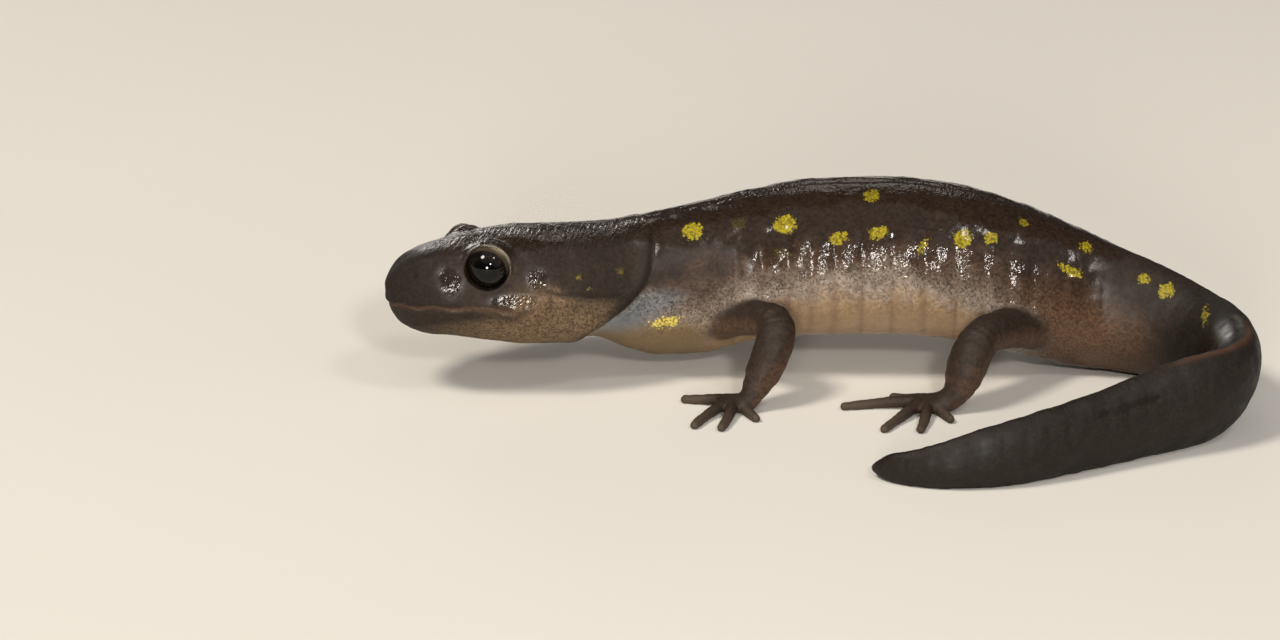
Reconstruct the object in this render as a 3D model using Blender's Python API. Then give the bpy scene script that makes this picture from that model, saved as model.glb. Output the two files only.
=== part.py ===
"""A young spotted salamander at life size: the solids of its body.

Metres, +Z up. The nose points towards -X and the left side faces -Y. The trunk
stands on four bent legs, and the tail lies on the floor and curls round to the
left, so that its tip points forwards again. Lengths below are in millimetres.
"""
import math

import bmesh
import bpy
from mathutils import Matrix, Vector

MM = 0.001          # metres in a millimetre
LINE_STEP = 0.05    # spacing of the points that carry the body's line
SHARP_ANGLE = 50    # edges that turn by more than this many degrees are shaded sharp
SPLIT = 0.2         # gap between two neighbouring lengths of flesh
NOSE_AT = (-24.63, -0.76)      # plan place of the snout tip, which centres the animal on the origin
RING_POINTS = 28    # points round the body
LIMB_POINTS = 10    # points round a leg
TOE_POINTS = 8      # points round a toe
BALL_SEGMENTS = 16  # points round an eye
BALL_RINGS = 10

# How the body's line turns in plan: distance from the snout, heading in degrees (0 is +X).
# The head looks a little to the left, the trunk is nearly straight, the tail curls left.
HEADINGS = (
    (0.0, 17), (11.0, 17), (16.0, 10), (22.0, 3), (30.0, -2), (38.0, -6), (43.0, -19), (46.0, -40),
    (49.0, -64), (52.0, -84), (55.0, -103), (58.0, -144), (60.5, -154), (63.0, -150), (67.0, -150),
    (73.0, -175), (79.0, -230),
)
BODY_LENGTH = 78.6

# The body's cross sections. Each is widest at one level and closes above and below it with a
# superellipse; the lean turns the section about its widest level, with the left side going up.
# distance, half width, top, widest level, bottom, exponent above, exponent below, lean in degrees
SECTIONS = (
    (0.0, 2.05, 8.05, 6.20, 3.42, 2.2, 2.2, 6),       # snout, before it is rounded off
    (1.2, 2.52, 8.20, 6.05, 3.52, 2.2, 2.2, 7),       # nostrils
    (3.2, 3.22, 8.58, 5.90, 3.30, 2.3, 2.3, 8),       # muzzle
    (5.4, 3.82, 8.92, 5.70, 2.82, 2.4, 2.3, 8),       # eyes
    (7.9, 4.38, 9.10, 5.40, 2.38, 2.3, 2.4, 8),       # cheeks
    (9.9, 4.50, 8.92, 5.20, 2.25, 2.2, 2.4, 7),       # angle of the jaw
    (11.6, 4.30, 8.76, 5.20, 2.50, 2.2, 2.4, 5),      # back of the head
    (12.9, 3.95, 8.74, 5.20, 2.02, 2.2, 2.3, 3),      # throat fold
    (14.2, 3.75, 8.88, 5.10, 1.35, 2.1, 2.2, 2),      # neck
    (16.4, 3.85, 9.17, 5.10, 0.85, 2.1, 2.2, 1),      # chest
    (18.4, 4.00, 9.55, 5.30, 0.88, 2.1, 2.2, 0),      # shoulders
    (21.5, 4.25, 10.20, 5.80, 1.60, 2.1, 2.2, 0),     # behind the arms
    (25.0, 4.60, 10.82, 6.20, 1.90, 2.1, 2.2, 0),     # first ribs
    (29.5, 4.70, 10.93, 6.20, 1.97, 2.1, 2.2, 0),     # belly
    (33.0, 4.55, 10.62, 6.00, 1.75, 2.1, 2.2, 0),     # flank
    (37.0, 3.80, 9.60, 5.20, 0.80, 2.0, 2.1, 0),      # hips
    (40.5, 3.05, 8.20, 4.20, 0.08, 2.0, 2.1, 0),      # vent
    (44.0, 2.45, 6.85, 3.40, -0.06, 1.9, 2.0, 4),     # tail root
    (49.0, 1.85, 5.80, 2.90, -0.10, 1.8, 2.0, 14),    # start of the curl
    (54.0, 1.65, 5.75, 2.85, -0.14, 1.8, 2.0, 22),    # outermost point of the curl
    (58.3, 1.50, 5.60, 2.80, -0.10, 1.8, 2.0, 10),    # end of the curl
    (64.8, 1.20, 4.45, 2.20, -0.05, 1.8, 2.0, 2),     # middle of the tail
    (71.2, 0.90, 3.60, 1.75, -0.04, 1.8, 2.0, 0),     # thinning blade
    (75.5, 0.58, 2.20, 1.10, -0.03, 1.9, 2.0, 0),     # near the tip
    (78.6, 0.36, 1.10, 0.55, 0.03, 2.0, 2.0, 0),      # tip, before it is rounded off
)
SNOUT_ROUND = 2.4       # length over which the snout closes
SNOUT_LEVEL = 6.20
TIP_ROUND = 1.6         # length over which the tail tip closes
TIP_LEVEL = 0.55

# The lengths that the body is parted into: node, start, end, spacing of its rings.
LENGTHS = (
    ("neck", 12.6, 16.6, 0.9),
    ("trunk", 16.6, 41.0, 1.35),
    ("tail_base", 41.0, 49.0, 1.15),
    ("tail_bend", 49.0, 59.0, 1.0),
    ("tail_middle", 59.0, 69.0, 1.7),
    ("tail_tip", 69.0, BODY_LENGTH, 1.3),
)
HEAD_END = 12.6
HEAD_STEP = 0.75
SNOUT_CLOSING = (14, 32, 52, 72)    # where the rings of the rounded snout lie, in degrees
TIP_CLOSING = (70, 45, 20)          # and those of the tail tip
TRUNK_GUIDE = (14.0, 44.0, 1.1)     # start, end and ring spacing of what the legs are cut by

# Eyes and mouth, in the head's own distance, side and height.
EYE_RADIUS = 1.30
EYE_PLACE = (5.4, 2.75, 7.50)
SOCKET_GAP = 0.08
ORBIT_RADIUS = 1.50
ORBIT_PLACE = (5.45, 2.45, 7.25)
MOUTH_FRONT_LEVEL = 5.42
MOUTH_CORNER = (6.5, 5.30)
JAW_BACK_FOOT = (9.8, 1.0)
JAW_GAP = 0.12

# Legs. Places are (distance along the body, side from its line, height). The knots of a leg
# are its root, elbow or knee, wrist or ankle, palm and the palm's front: 0, 1, 2, 3 and 4.
# knot, radius across, radius through
ARM_RADII = (
    (0.0, 1.10, 1.10), (0.6, 0.98, 0.98), (1.0, 1.12, 1.05), (1.5, 1.18, 1.08), (2.0, 0.78, 0.66),
    (3.0, 0.86, 0.46), (4.0, 0.62, 0.38),
)
LEG_RADII = (
    (0.0, 1.25, 1.25), (0.6, 1.15, 1.12), (1.0, 1.20, 1.08), (1.5, 1.36, 1.15), (2.0, 0.96, 0.72),
    (3.0, 0.98, 0.46), (4.0, 0.70, 0.38),
)
# A palm is (reach of its middle, reach of its front, angle outwards from straight ahead).
ARM_PALM = (1.05, 1.60, -5)
LEG_PALM = (1.60, 2.30, 2)
# A digit is (angle outwards from straight ahead, length, further turn outwards to its tip).
FINGERS = ((-34, 2.1, 30), (40, 3.0, 28), (78, 2.7, -12), (122, 1.5, -14))
TOES = ((-40, 1.5, 22), (-4, 3.9, 24), (52, 3.6, 16), (88, 2.9, -10), (128, 1.6, -16))
LIMBS = (
    ("left_arm", 1, ("upper_arm", "forearm", "hand"), ARM_RADII,
     ((18.8, 2.3, 3.5), (22.5, 6.2, 4.38), (20.9, 8.0, 0.95)), ARM_PALM, FINGERS),
    ("right_arm", -1, ("upper_arm", "forearm", "hand"), ARM_RADII,
     ((18.6, 2.3, 3.5), (21.6, 6.4, 4.50), (19.4, 8.2, 0.95)), ARM_PALM, FINGERS),
    ("left_leg", 1, ("thigh", "shin", "foot"), LEG_RADII,
     ((38.3, 1.9, 3.0), (35.0, 6.3, 3.78), (33.5, 8.0, 1.00)), LEG_PALM, TOES),
    ("right_leg", -1, ("thigh", "shin", "foot"), LEG_RADII,
     ((38.0, 1.9, 3.0), (36.0, 6.4, 4.00), (35.6, 8.1, 1.00)), LEG_PALM, TOES),
)
PALM_HEIGHT = 0.38
TOE_HEIGHTS = (0.46, 0.42, 0.32, 0.23, 0.21)
TOE_THICK = (0.38, 0.33, 0.30, 0.28, 0.30)
TOE_ROOT_OUT = 0.25     # how far from the palm's middle a toe starts
TOE_ROOT_IN = 0.60      # length of a toe that lies inside the palm
TOE_TIP_REACH = 0.75    # how far a toe's rounded end reaches, as a share of its radius
TOE_CLOSE_REACH = 0.5   # where the last ring of that end lies
TOE_CLOSE_SIZE = 0.72   # and how wide it is
PALM_TIP_REACH = 0.35   # how far the palm closes beyond its front
LIMB_SAMPLES = 4        # rings between two knots of a leg


def smooth(table, x, column):
    """Read a column of a table at x, with a monotone cubic between its rows."""
    rows = [(row[0], row[column]) for row in table]
    if x <= rows[0][0]:
        return rows[0][1]
    if x >= rows[-1][0]:
        return rows[-1][1]
    i = max(k for k in range(len(rows) - 1) if rows[k][0] <= x)

    def slope(k):
        return (rows[k + 1][1] - rows[k][1]) / (rows[k + 1][0] - rows[k][0])

    def tangent(k):
        if k == 0 or k == len(rows) - 1:
            return slope(min(k, len(rows) - 2))
        before, after = slope(k - 1), slope(k)
        if before * after <= 0.0:
            return 0.0
        wide_before = rows[k][0] - rows[k - 1][0]
        wide_after = rows[k + 1][0] - rows[k][0]
        w1 = 2.0 * wide_after + wide_before
        w2 = wide_after + 2.0 * wide_before
        return (w1 + w2) / (w1 / before + w2 / after)

    h = rows[i + 1][0] - rows[i][0]
    t = (x - rows[i][0]) / h
    return ((1 + 2 * t) * (1 - t) ** 2 * rows[i][1] + t * (1 - t) ** 2 * h * tangent(i)
            + t * t * (3 - 2 * t) * rows[i + 1][1] + t * t * (t - 1) * h * tangent(i + 1))


def draw_line():
    """Walk along the body from the snout and return its plan points, one every LINE_STEP."""
    x, y = NOSE_AT
    points = [(x, y)]
    for k in range(int(BODY_LENGTH / LINE_STEP) + 1):
        heading = math.radians(smooth(HEADINGS, (k + 0.5) * LINE_STEP, 1))
        x += LINE_STEP * math.cos(heading)
        y += LINE_STEP * math.sin(heading)
        points.append((x, y))
    return points


LINE = draw_line()


def on_line(distance):
    """Plan point of the body's line, and the direction to the animal's left there."""
    k = min(max(distance / LINE_STEP, 0.0), len(LINE) - 1.001)
    i = int(k)
    f = k - i
    x = LINE[i][0] * (1 - f) + LINE[i + 1][0] * f
    y = LINE[i][1] * (1 - f) + LINE[i + 1][1] * f
    heading = math.radians(smooth(HEADINGS, distance, 1))
    return Vector((x, y, 0.0)), Vector((math.sin(heading), -math.cos(heading), 0.0))


def place(distance, side, height):
    """A point given by distance along the body, side (left positive) and height, in millimetres."""
    centre, left = on_line(distance)
    level = smooth(SECTIONS, distance, 3)
    lean = math.radians(smooth(SECTIONS, distance, 7))
    above = height - level
    across = side * math.cos(lean) - above * math.sin(lean)
    up = side * math.sin(lean) + above * math.cos(lean)
    return centre + left * across + Vector((0.0, 0.0, level + up))


def closing(distance):
    """How far a section is drawn in towards the snout tip or the tail tip, and to what level."""
    if distance < SNOUT_ROUND:
        return math.sqrt(1 - (1 - distance / SNOUT_ROUND) ** 2), SNOUT_LEVEL
    left = BODY_LENGTH - distance
    if left < TIP_ROUND:
        return math.sqrt(max(1 - (1 - left / TIP_ROUND) ** 2, 0.0)), TIP_LEVEL
    return 1.0, 0.0


def body_ring(distance, grow=0.0):
    """Points round the body at one distance, turned the same way at every station."""
    half, top, level, bottom, n_top, n_bottom = (smooth(SECTIONS, distance, c) for c in range(1, 7))
    drawn, pole = closing(distance)
    ring = []
    for k in range(RING_POINTS):
        angle = 2 * math.pi * k / RING_POINTS
        c, s = math.cos(angle), math.sin(angle)
        n = n_top if s > 0 else n_bottom
        reach = (top - level if s > 0 else level - bottom) + grow
        side = (half + grow) * math.copysign(abs(c) ** (2 / n), c) * drawn
        height = level + reach * math.copysign(abs(s) ** (2 / n), s)
        height = pole + (height - pole) * drawn
        point = place(distance, side, height)
        point.z = max(point.z, 0.0)
        ring.append(point)
    return ring


def spread(start, end, step):
    """Evenly spaced distances from start to end, about step apart."""
    count = max(2, round((end - start) / step))
    return [start + (end - start) * k / count for k in range(count + 1)]


def skin_rings(rings, first_tip=None, last_tip=None):
    """Bridge rings of points into one closed mesh, with a flat or a pointed end at each side."""
    bm = bmesh.new()
    loops = [[bm.verts.new(point * MM) for point in ring] for ring in rings]
    for before, after in zip(loops, loops[1:]):
        for k in range(len(before)):
            j = (k + 1) % len(before)
            bm.faces.new((before[k], before[j], after[j], after[k]))
    for loop, tip in ((loops[0], first_tip), (loops[-1], last_tip)):
        if tip is None:
            bm.faces.new(loop)
            continue
        apex = bm.verts.new(tip * MM)
        for k in range(len(loop)):
            bm.faces.new((loop[k], loop[(k + 1) % len(loop)], apex))
    bmesh.ops.recalc_face_normals(bm, faces=bm.faces)
    return bm


def finish(name, colour, roughness):
    """A Principled material of one colour (linear), for a moist or glossy surface."""
    material = bpy.data.materials.new(name)
    material.use_nodes = True
    shader = material.node_tree.nodes["Principled BSDF"]
    shader.inputs["Base Color"].default_value = (*colour, 1.0)
    shader.inputs["Roughness"].default_value = roughness
    shader.inputs["Metallic"].default_value = 0.0
    return material


def add_object(name, bm, material=None):
    """Turn a bmesh into a smooth-shaded object under the animal's empty, or into a hidden guide."""
    mesh = bpy.data.meshes.new(name)
    bm.to_mesh(mesh)
    bm.free()
    mesh.shade_smooth()
    mesh.set_sharp_from_angle(angle=math.radians(SHARP_ANGLE))
    piece = bpy.data.objects.new(name, mesh)
    bpy.context.scene.collection.objects.link(piece)
    piece.parent = bpy.data.objects["salamander"]
    if material is None:
        piece.hide_render = True
        piece.display_type = "WIRE"
    else:
        mesh.materials.append(material)
    return piece


def combine(piece, operation, other):
    """Add a Boolean modifier that works on another object."""
    modifier = piece.modifiers.new(operation.lower(), "BOOLEAN")
    modifier.operation = operation
    modifier.solver = "EXACT"
    modifier.object = other


def body_mesh(start, end, step, grow=0.0):
    """The closed surface of one length of the body."""
    distances = spread(start, end, step)
    first_tip = last_tip = None
    if start <= 0.0:
        close = [SNOUT_ROUND * (1 - math.cos(math.radians(a))) for a in SNOUT_CLOSING]
        distances = close + spread(SNOUT_ROUND, end, step)
        first_tip = place(0.0, 0.0, SNOUT_LEVEL)
    if end >= BODY_LENGTH:
        close = [end - TIP_ROUND * (1 - math.cos(math.radians(a))) for a in TIP_CLOSING]
        distances = spread(start, end - TIP_ROUND, step) + close
        last_tip = place(end, 0.0, TIP_LEVEL)
    return skin_rings([body_ring(d, grow) for d in distances], first_tip, last_tip)


def add_body():
    """Neck, trunk and tail, each a length of the body with a thin gap to the next."""
    for name, start, end, step in LENGTHS:
        last = end if end >= BODY_LENGTH else end - SPLIT / 2
        material = finish("moist " + name.replace("_", " "), (0.045, 0.030, 0.023), 0.35)
        add_object(name, body_mesh(start + SPLIT / 2, last, step), material)


def ball(radius, centre):
    """A ball of one size at a place in millimetres."""
    bm = bmesh.new()
    bmesh.ops.create_uvsphere(bm, u_segments=BALL_SEGMENTS, v_segments=BALL_RINGS, radius=radius * MM,
                              matrix=Matrix.Translation(centre * MM))
    return bm


def jaw_block(grow):
    """The wedge under the mouth line that parts the lower jaw from the head."""
    front = -2.0        # ahead of the snout, so that the wedge cuts right through
    half_width = 7.0
    profile = (
        (front, MOUTH_FRONT_LEVEL + grow), (MOUTH_CORNER[0] + grow, MOUTH_CORNER[1] + grow),
        (JAW_BACK_FOOT[0] + grow, JAW_BACK_FOOT[1] - grow), (front, JAW_BACK_FOOT[1] - grow),
    )
    ahead = place(0.0, 0.0, SNOUT_LEVEL) - place(1.0, 0.0, SNOUT_LEVEL)
    rings = []
    for side in (-half_width, half_width):
        rings.append([place(max(d, 0.0), side, h) + ahead * max(-d, 0.0) for d, h in profile])
    return skin_rings(rings)


def add_head():
    """Head, lower jaw and the two eyes in their sockets."""
    flesh = finish("moist head skin", (0.045, 0.030, 0.023), 0.35)
    pale = finish("moist jaw skin", (0.16, 0.10, 0.065), 0.40)
    cornea = finish("wet black eye", (0.004, 0.004, 0.004), 0.05)
    head = add_object("head", body_mesh(0.0, HEAD_END - SPLIT / 2, HEAD_STEP), flesh)
    jaw = add_object("lower_jaw", body_mesh(0.0, HEAD_END - SPLIT / 2, HEAD_STEP), pale)
    combine(jaw, "INTERSECT", add_object("jaw_guide", jaw_block(0.0)))
    combine(head, "DIFFERENCE", add_object("mouth_guide", jaw_block(JAW_GAP)))
    for name, sign in (("left", 1), ("right", -1)):
        distance, side, height = ORBIT_PLACE
        orbit = ball(ORBIT_RADIUS, place(distance, side * sign, height))
        combine(head, "UNION", add_object("orbit_guide_" + name, orbit))
        distance, side, height = EYE_PLACE
        centre = place(distance, side * sign, height)
        add_object("eye_" + name, ball(EYE_RADIUS, centre), cornea)
        socket = add_object("socket_guide_" + name, ball(EYE_RADIUS + SOCKET_GAP, centre))
        combine(head, "DIFFERENCE", socket)


def bend_through(points, per_span):
    """A Catmull-Rom curve through the points, with the knot number of each sample."""
    ends = [points[0] * 2 - points[1]] + list(points) + [points[-1] * 2 - points[-2]]
    samples = []
    for i in range(1, len(ends) - 2):
        a, b, c, d = ends[i - 1:i + 3]
        for k in range(per_span):
            t = k / per_span
            samples.append((i - 1 + t, 0.5 * (2 * b + (c - a) * t + (2 * a - 5 * b + 4 * c - d) * t * t
                                              + (3 * b - a - 3 * c + d) * t ** 3)))
    samples.append((len(points) - 1.0, points[-1]))
    return samples


def tube_rings(samples, radii, sides, across_end):
    """Rings along a curved tube, kept from twisting, with the across direction set at its end."""
    across = across_end.normalized()
    rings = []
    for i in range(len(samples) - 1, -1, -1):
        knot, centre = samples[i]
        ahead = samples[min(i + 1, len(samples) - 1)][1] - samples[max(i - 1, 0)][1]
        ahead.normalize()
        across = (across - ahead * across.dot(ahead)).normalized()
        upward = across.cross(ahead)
        wide, thick = smooth(radii, knot, 1), smooth(radii, knot, 2)
        ring = []
        for k in range(sides):
            angle = 2 * math.pi * (k + 0.5) / sides
            point = centre + across * (wide * math.cos(angle)) + upward * (thick * math.sin(angle))
            point.z = max(point.z, 0.0)
            ring.append(point)
        rings.insert(0, ring)
    return rings


def heading_of(distance, side_sign, outwards):
    """Unit direction on the floor, turned outwards from straight ahead by an angle in degrees."""
    ahead = on_line(distance)[1].cross(Vector((0, 0, 1)))
    out = on_line(distance)[1] * side_sign
    angle = math.radians(outwards)
    return ahead * math.cos(angle) + out * math.sin(angle)


def add_toe(name, start, directions, length):
    """One toe: a tapering arched tube with a swollen tip, flat where it meets the floor."""
    spot = start.copy()
    points = []
    for direction, height in zip(directions, TOE_HEIGHTS):
        points.append(spot + Vector((0, 0, height)))
        spot += direction * (length / (len(TOE_HEIGHTS) - 1))
    direction = directions[-1]
    across = direction.cross(Vector((0, 0, 1)))
    samples = list(enumerate(points))
    rings = tube_rings(samples, [(k, r, r) for k, r in enumerate(TOE_THICK)], TOE_POINTS, across)
    end, radius = points[-1], TOE_THICK[-1]
    tip = end + direction * (radius * TOE_TIP_REACH)
    ahead = end + direction * (radius * TOE_CLOSE_REACH)
    close = [ahead + (point - end) * TOE_CLOSE_SIZE for point in rings[-1]]
    for point in close:
        point.z = max(point.z, 0.0)
    return add_object(name, skin_rings(rings + [close], None, tip))


def limb_samples(sign, joints, palm):
    """The curve down a leg: root, elbow or knee, wrist or ankle, palm and the palm's front."""
    root, bend, wrist = (place_flat(d, side * sign, height) for d, side, height in joints)
    middle_reach, front_reach, angle = palm
    ahead = heading_of(joints[2][0], sign, angle)
    middle = Vector((wrist.x, wrist.y, PALM_HEIGHT)) + ahead * middle_reach
    front = Vector((wrist.x, wrist.y, PALM_HEIGHT)) + ahead * front_reach
    return bend_through([root, bend, wrist, middle, front], LIMB_SAMPLES), ahead, middle


def place_flat(distance, side, height):
    """A point beside the body's line that doesn't lean with the section."""
    centre, left = on_line(distance)
    return centre + left * side + Vector((0.0, 0.0, height))


def add_limb(label, sign, names, radii, joints, palm, digits, body_guide):
    """One leg in three lengths: the upper one is cut by the trunk, the last one carries the toes."""
    side = label.split("_")[0]
    samples, ahead, middle = limb_samples(sign, joints, palm)
    across = ahead.cross(Vector((0, 0, 1)))
    rings = tube_rings(samples, radii, LIMB_POINTS, across)
    material = finish("moist skin of the " + label.replace("_", " "), (0.050, 0.032, 0.022), 0.38)
    cuts = ((0, 1), (1, 2), (2, 4))
    for name, (start, end) in zip(names, cuts):
        picked = [k for k, (knot, _) in enumerate(samples) if start <= knot <= end]
        part_rings = [list(rings[k]) for k in picked]
        if start > 0:
            part_rings[0] = shift_ring(samples, rings, picked[0], SPLIT / 2)
        if end < 4:
            part_rings[-1] = shift_ring(samples, rings, picked[-1], -SPLIT / 2)
        last_tip = None
        if end == 4:
            last_tip = samples[-1][1] + ahead * PALM_TIP_REACH
        piece = add_object(name + "_" + side, skin_rings(part_rings, None, last_tip), material)
        if name == names[0]:
            combine(piece, "DIFFERENCE", body_guide)
    steps = len(TOE_HEIGHTS)
    for k, (angle, length, turn) in enumerate(digits):
        directions = [heading_of(joints[2][0], sign, angle + turn * j / (steps - 1)) for j in range(steps)]
        start = Vector((middle.x, middle.y, 0.0)) + directions[0] * TOE_ROOT_OUT
        toe = add_toe("%s_digit_%d" % (label, k + 1), start, directions, length + TOE_ROOT_IN)
        combine(piece, "UNION", toe)


def shift_ring(samples, rings, k, distance):
    """A ring moved along the tube, part of the way to its neighbour."""
    other = k + 1 if distance > 0 else k - 1
    span = (samples[other][1] - samples[k][1]).length
    f = abs(distance) / span
    return [a.lerp(b, f) for a, b in zip(rings[k], rings[other])]


def build():
    """Clear the scene and model the whole animal."""
    for old in list(bpy.data.objects):
        bpy.data.objects.remove(old, do_unlink=True)
    stand = bpy.data.objects.new("salamander", None)
    bpy.context.scene.collection.objects.link(stand)
    add_head()
    add_body()
    body_guide = add_object("body_guide", body_mesh(*TRUNK_GUIDE, SPLIT / 2))
    for limb in LIMBS:
        add_limb(*limb, body_guide)


build()
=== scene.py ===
"""A young spotted salamander at life size: its skin, its eyes and a plain studio.

The animal's solids are the fixed frame. One skin covers all of its flesh, from the snout
to the toes and the tail tip, and the two eyes are pieces of their own. Lengths are in
millimetres until a mesh is made. The nose points towards -X, the left side faces -Y.
"""
import math

import bpy
import numpy as np
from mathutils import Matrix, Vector


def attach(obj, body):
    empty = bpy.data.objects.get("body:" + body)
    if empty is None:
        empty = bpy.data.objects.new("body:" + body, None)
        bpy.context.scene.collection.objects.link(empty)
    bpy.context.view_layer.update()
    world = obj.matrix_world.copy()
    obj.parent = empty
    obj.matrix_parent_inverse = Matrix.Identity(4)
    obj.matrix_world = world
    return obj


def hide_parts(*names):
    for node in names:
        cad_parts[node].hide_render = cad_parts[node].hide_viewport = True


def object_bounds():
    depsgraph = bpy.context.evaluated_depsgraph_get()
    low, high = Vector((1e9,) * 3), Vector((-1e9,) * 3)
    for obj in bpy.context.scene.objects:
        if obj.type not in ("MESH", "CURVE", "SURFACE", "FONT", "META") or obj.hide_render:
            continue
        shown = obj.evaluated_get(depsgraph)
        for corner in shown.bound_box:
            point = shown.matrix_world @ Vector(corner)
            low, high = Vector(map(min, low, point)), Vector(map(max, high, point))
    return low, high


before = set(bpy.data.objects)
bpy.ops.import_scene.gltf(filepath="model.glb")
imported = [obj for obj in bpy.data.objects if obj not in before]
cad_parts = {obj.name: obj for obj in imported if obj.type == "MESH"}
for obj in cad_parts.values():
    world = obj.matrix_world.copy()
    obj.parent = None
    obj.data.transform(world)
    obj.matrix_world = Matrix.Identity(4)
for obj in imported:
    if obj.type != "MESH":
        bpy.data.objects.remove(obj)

CAD_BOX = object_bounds()

bl_info = {
    "name": "Spotted Salamander",
    "version": (1, 0, 0),
    "blender": (4, 5, 0),
    "location": "View3D > Sidebar > Salamander",
    "description": "Builds a young spotted salamander at life size",
    "category": "Add Mesh",
}

MM = 0.001
BODY = "root"

# ---------------------------------------------------------------------------
# The animal's measures, in millimetres, as its solids have them.
# ---------------------------------------------------------------------------

NOSE_AT = (-24.63, -0.76)
LINE_STEP = 0.05
BODY_LENGTH = 78.6

# How the body's line turns in plan: distance from the snout, heading in degrees.
HEADINGS = (
    (0.0, 17), (11.0, 17), (16.0, 10), (22.0, 3), (30.0, -2), (38.0, -6), (43.0, -19),
    (46.0, -40), (49.0, -64), (52.0, -84), (55.0, -103), (58.0, -144), (60.5, -154),
    (63.0, -150), (67.0, -150), (73.0, -175), (79.0, -230),
)

# distance, half width, top, widest level, bottom, exponent above, exponent below, lean
SECTIONS = (
    (0.0, 2.05, 8.05, 6.20, 3.42, 2.2, 2.2, 6),
    (1.2, 2.52, 8.20, 6.05, 3.52, 2.2, 2.2, 7),
    (3.2, 3.22, 8.58, 5.90, 3.30, 2.3, 2.3, 8),
    (5.4, 3.82, 8.92, 5.70, 2.82, 2.4, 2.3, 8),
    (7.9, 4.38, 9.10, 5.40, 2.38, 2.3, 2.4, 8),
    (9.9, 4.50, 8.92, 5.20, 2.25, 2.2, 2.4, 7),
    (11.6, 4.30, 8.76, 5.20, 2.50, 2.2, 2.4, 5),
    (12.9, 3.95, 8.74, 5.20, 2.02, 2.2, 2.3, 3),
    (14.2, 3.75, 8.88, 5.10, 1.35, 2.1, 2.2, 2),
    (16.4, 3.85, 9.17, 5.10, 0.85, 2.1, 2.2, 1),
    (18.4, 4.00, 9.55, 5.30, 0.88, 2.1, 2.2, 0),
    (21.5, 4.25, 10.20, 5.80, 1.60, 2.1, 2.2, 0),
    (25.0, 4.60, 10.82, 6.20, 1.90, 2.1, 2.2, 0),
    (29.5, 4.70, 10.93, 6.20, 1.97, 2.1, 2.2, 0),
    (33.0, 4.55, 10.62, 6.00, 1.75, 2.1, 2.2, 0),
    (37.0, 3.80, 9.60, 5.20, 0.80, 2.0, 2.1, 0),
    (40.5, 3.05, 8.20, 4.20, 0.08, 2.0, 2.1, 0),
    (44.0, 2.45, 6.85, 3.40, -0.06, 1.9, 2.0, 4),
    (49.0, 1.85, 5.80, 2.90, -0.10, 1.8, 2.0, 14),
    (54.0, 1.65, 5.75, 2.85, -0.14, 1.8, 2.0, 22),
    (58.3, 1.50, 5.60, 2.80, -0.10, 1.8, 2.0, 10),
    (64.8, 1.20, 4.45, 2.20, -0.05, 1.8, 2.0, 2),
    (71.2, 0.90, 3.60, 1.75, -0.04, 1.8, 2.0, 0),
    (75.5, 0.58, 2.20, 1.10, -0.03, 1.9, 2.0, 0),
    (78.6, 0.36, 1.10, 0.55, 0.03, 2.0, 2.0, 0),
)
SNOUT_ROUND = 2.4
SNOUT_LEVEL = 6.20
TIP_ROUND = 1.6
TIP_LEVEL = 0.55

EYE_RADIUS = 1.30
EYE_PLACE = (5.4, 2.75, 7.50)       # distance, side, height in the leaning head
ORBIT_RADIUS = 1.50
ORBIT_PLACE = (5.45, 2.45, 7.25)

# A leg's knots are its root, elbow or knee, wrist or ankle, palm and the palm's front.
# knot, radius across, radius through
ARM_RADII = (
    (0.0, 1.10, 1.10), (0.6, 0.98, 0.98), (1.0, 1.12, 1.05), (1.5, 1.18, 1.08),
    (2.0, 0.78, 0.66), (3.0, 0.86, 0.46), (4.0, 0.62, 0.38),
)
LEG_RADII = (
    (0.0, 1.25, 1.25), (0.6, 1.15, 1.12), (1.0, 1.20, 1.08), (1.5, 1.36, 1.15),
    (2.0, 0.96, 0.72), (3.0, 0.98, 0.46), (4.0, 0.70, 0.38),
)
ARM_PALM = (1.05, 1.60, -5)         # reach of its middle, reach of its front, angle outwards
LEG_PALM = (1.60, 2.30, 2)
# A digit is (angle outwards from straight ahead, length, further turn to its tip).
FINGERS = ((-34, 2.1, 30), (40, 3.0, 28), (78, 2.7, -12), (122, 1.5, -14))
TOES = ((-40, 1.5, 22), (-4, 3.9, 24), (52, 3.6, 16), (88, 2.9, -10), (128, 1.6, -16))
# side sign, radii, (distance, side, height) of root, bend and wrist, palm, digits
LIMBS = (
    (1, ARM_RADII, ((18.8, 2.3, 3.5), (22.5, 6.2, 4.38), (20.9, 8.0, 0.95)), ARM_PALM, FINGERS),
    (-1, ARM_RADII, ((18.6, 2.3, 3.5), (21.6, 6.4, 4.50), (19.4, 8.2, 0.95)), ARM_PALM, FINGERS),
    (1, LEG_RADII, ((38.3, 1.9, 3.0), (35.0, 6.3, 3.78), (33.5, 8.0, 1.00)), LEG_PALM, TOES),
    (-1, LEG_RADII, ((38.0, 1.9, 3.0), (36.0, 6.4, 4.00), (35.6, 8.1, 1.00)), LEG_PALM, TOES),
)
PALM_HEIGHT = 0.38
TOE_HEIGHTS = (0.46, 0.42, 0.32, 0.23, 0.21)
TOE_THICK = (0.38, 0.33, 0.30, 0.28, 0.30)
TOE_ROOT_OUT = 0.25         # how far a digit's root lies from the palm's middle
TOE_ROOT_IN = 0.60          # how much of it is inside the palm
SAMPLES_IN_LEG = 6          # points of a tube from one knot to the next
SAMPLES_IN_TOE = 2

HEAD_END = -12.5            # X as far as which the mesh is as fine as on the head
WIDENING = 24               # grid planes over which its spacing then widens

FLESH_NODES = sorted(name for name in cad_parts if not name.startswith("eye_"))


# ---------------------------------------------------------------------------
# Curves and coordinates.
# ---------------------------------------------------------------------------

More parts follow.
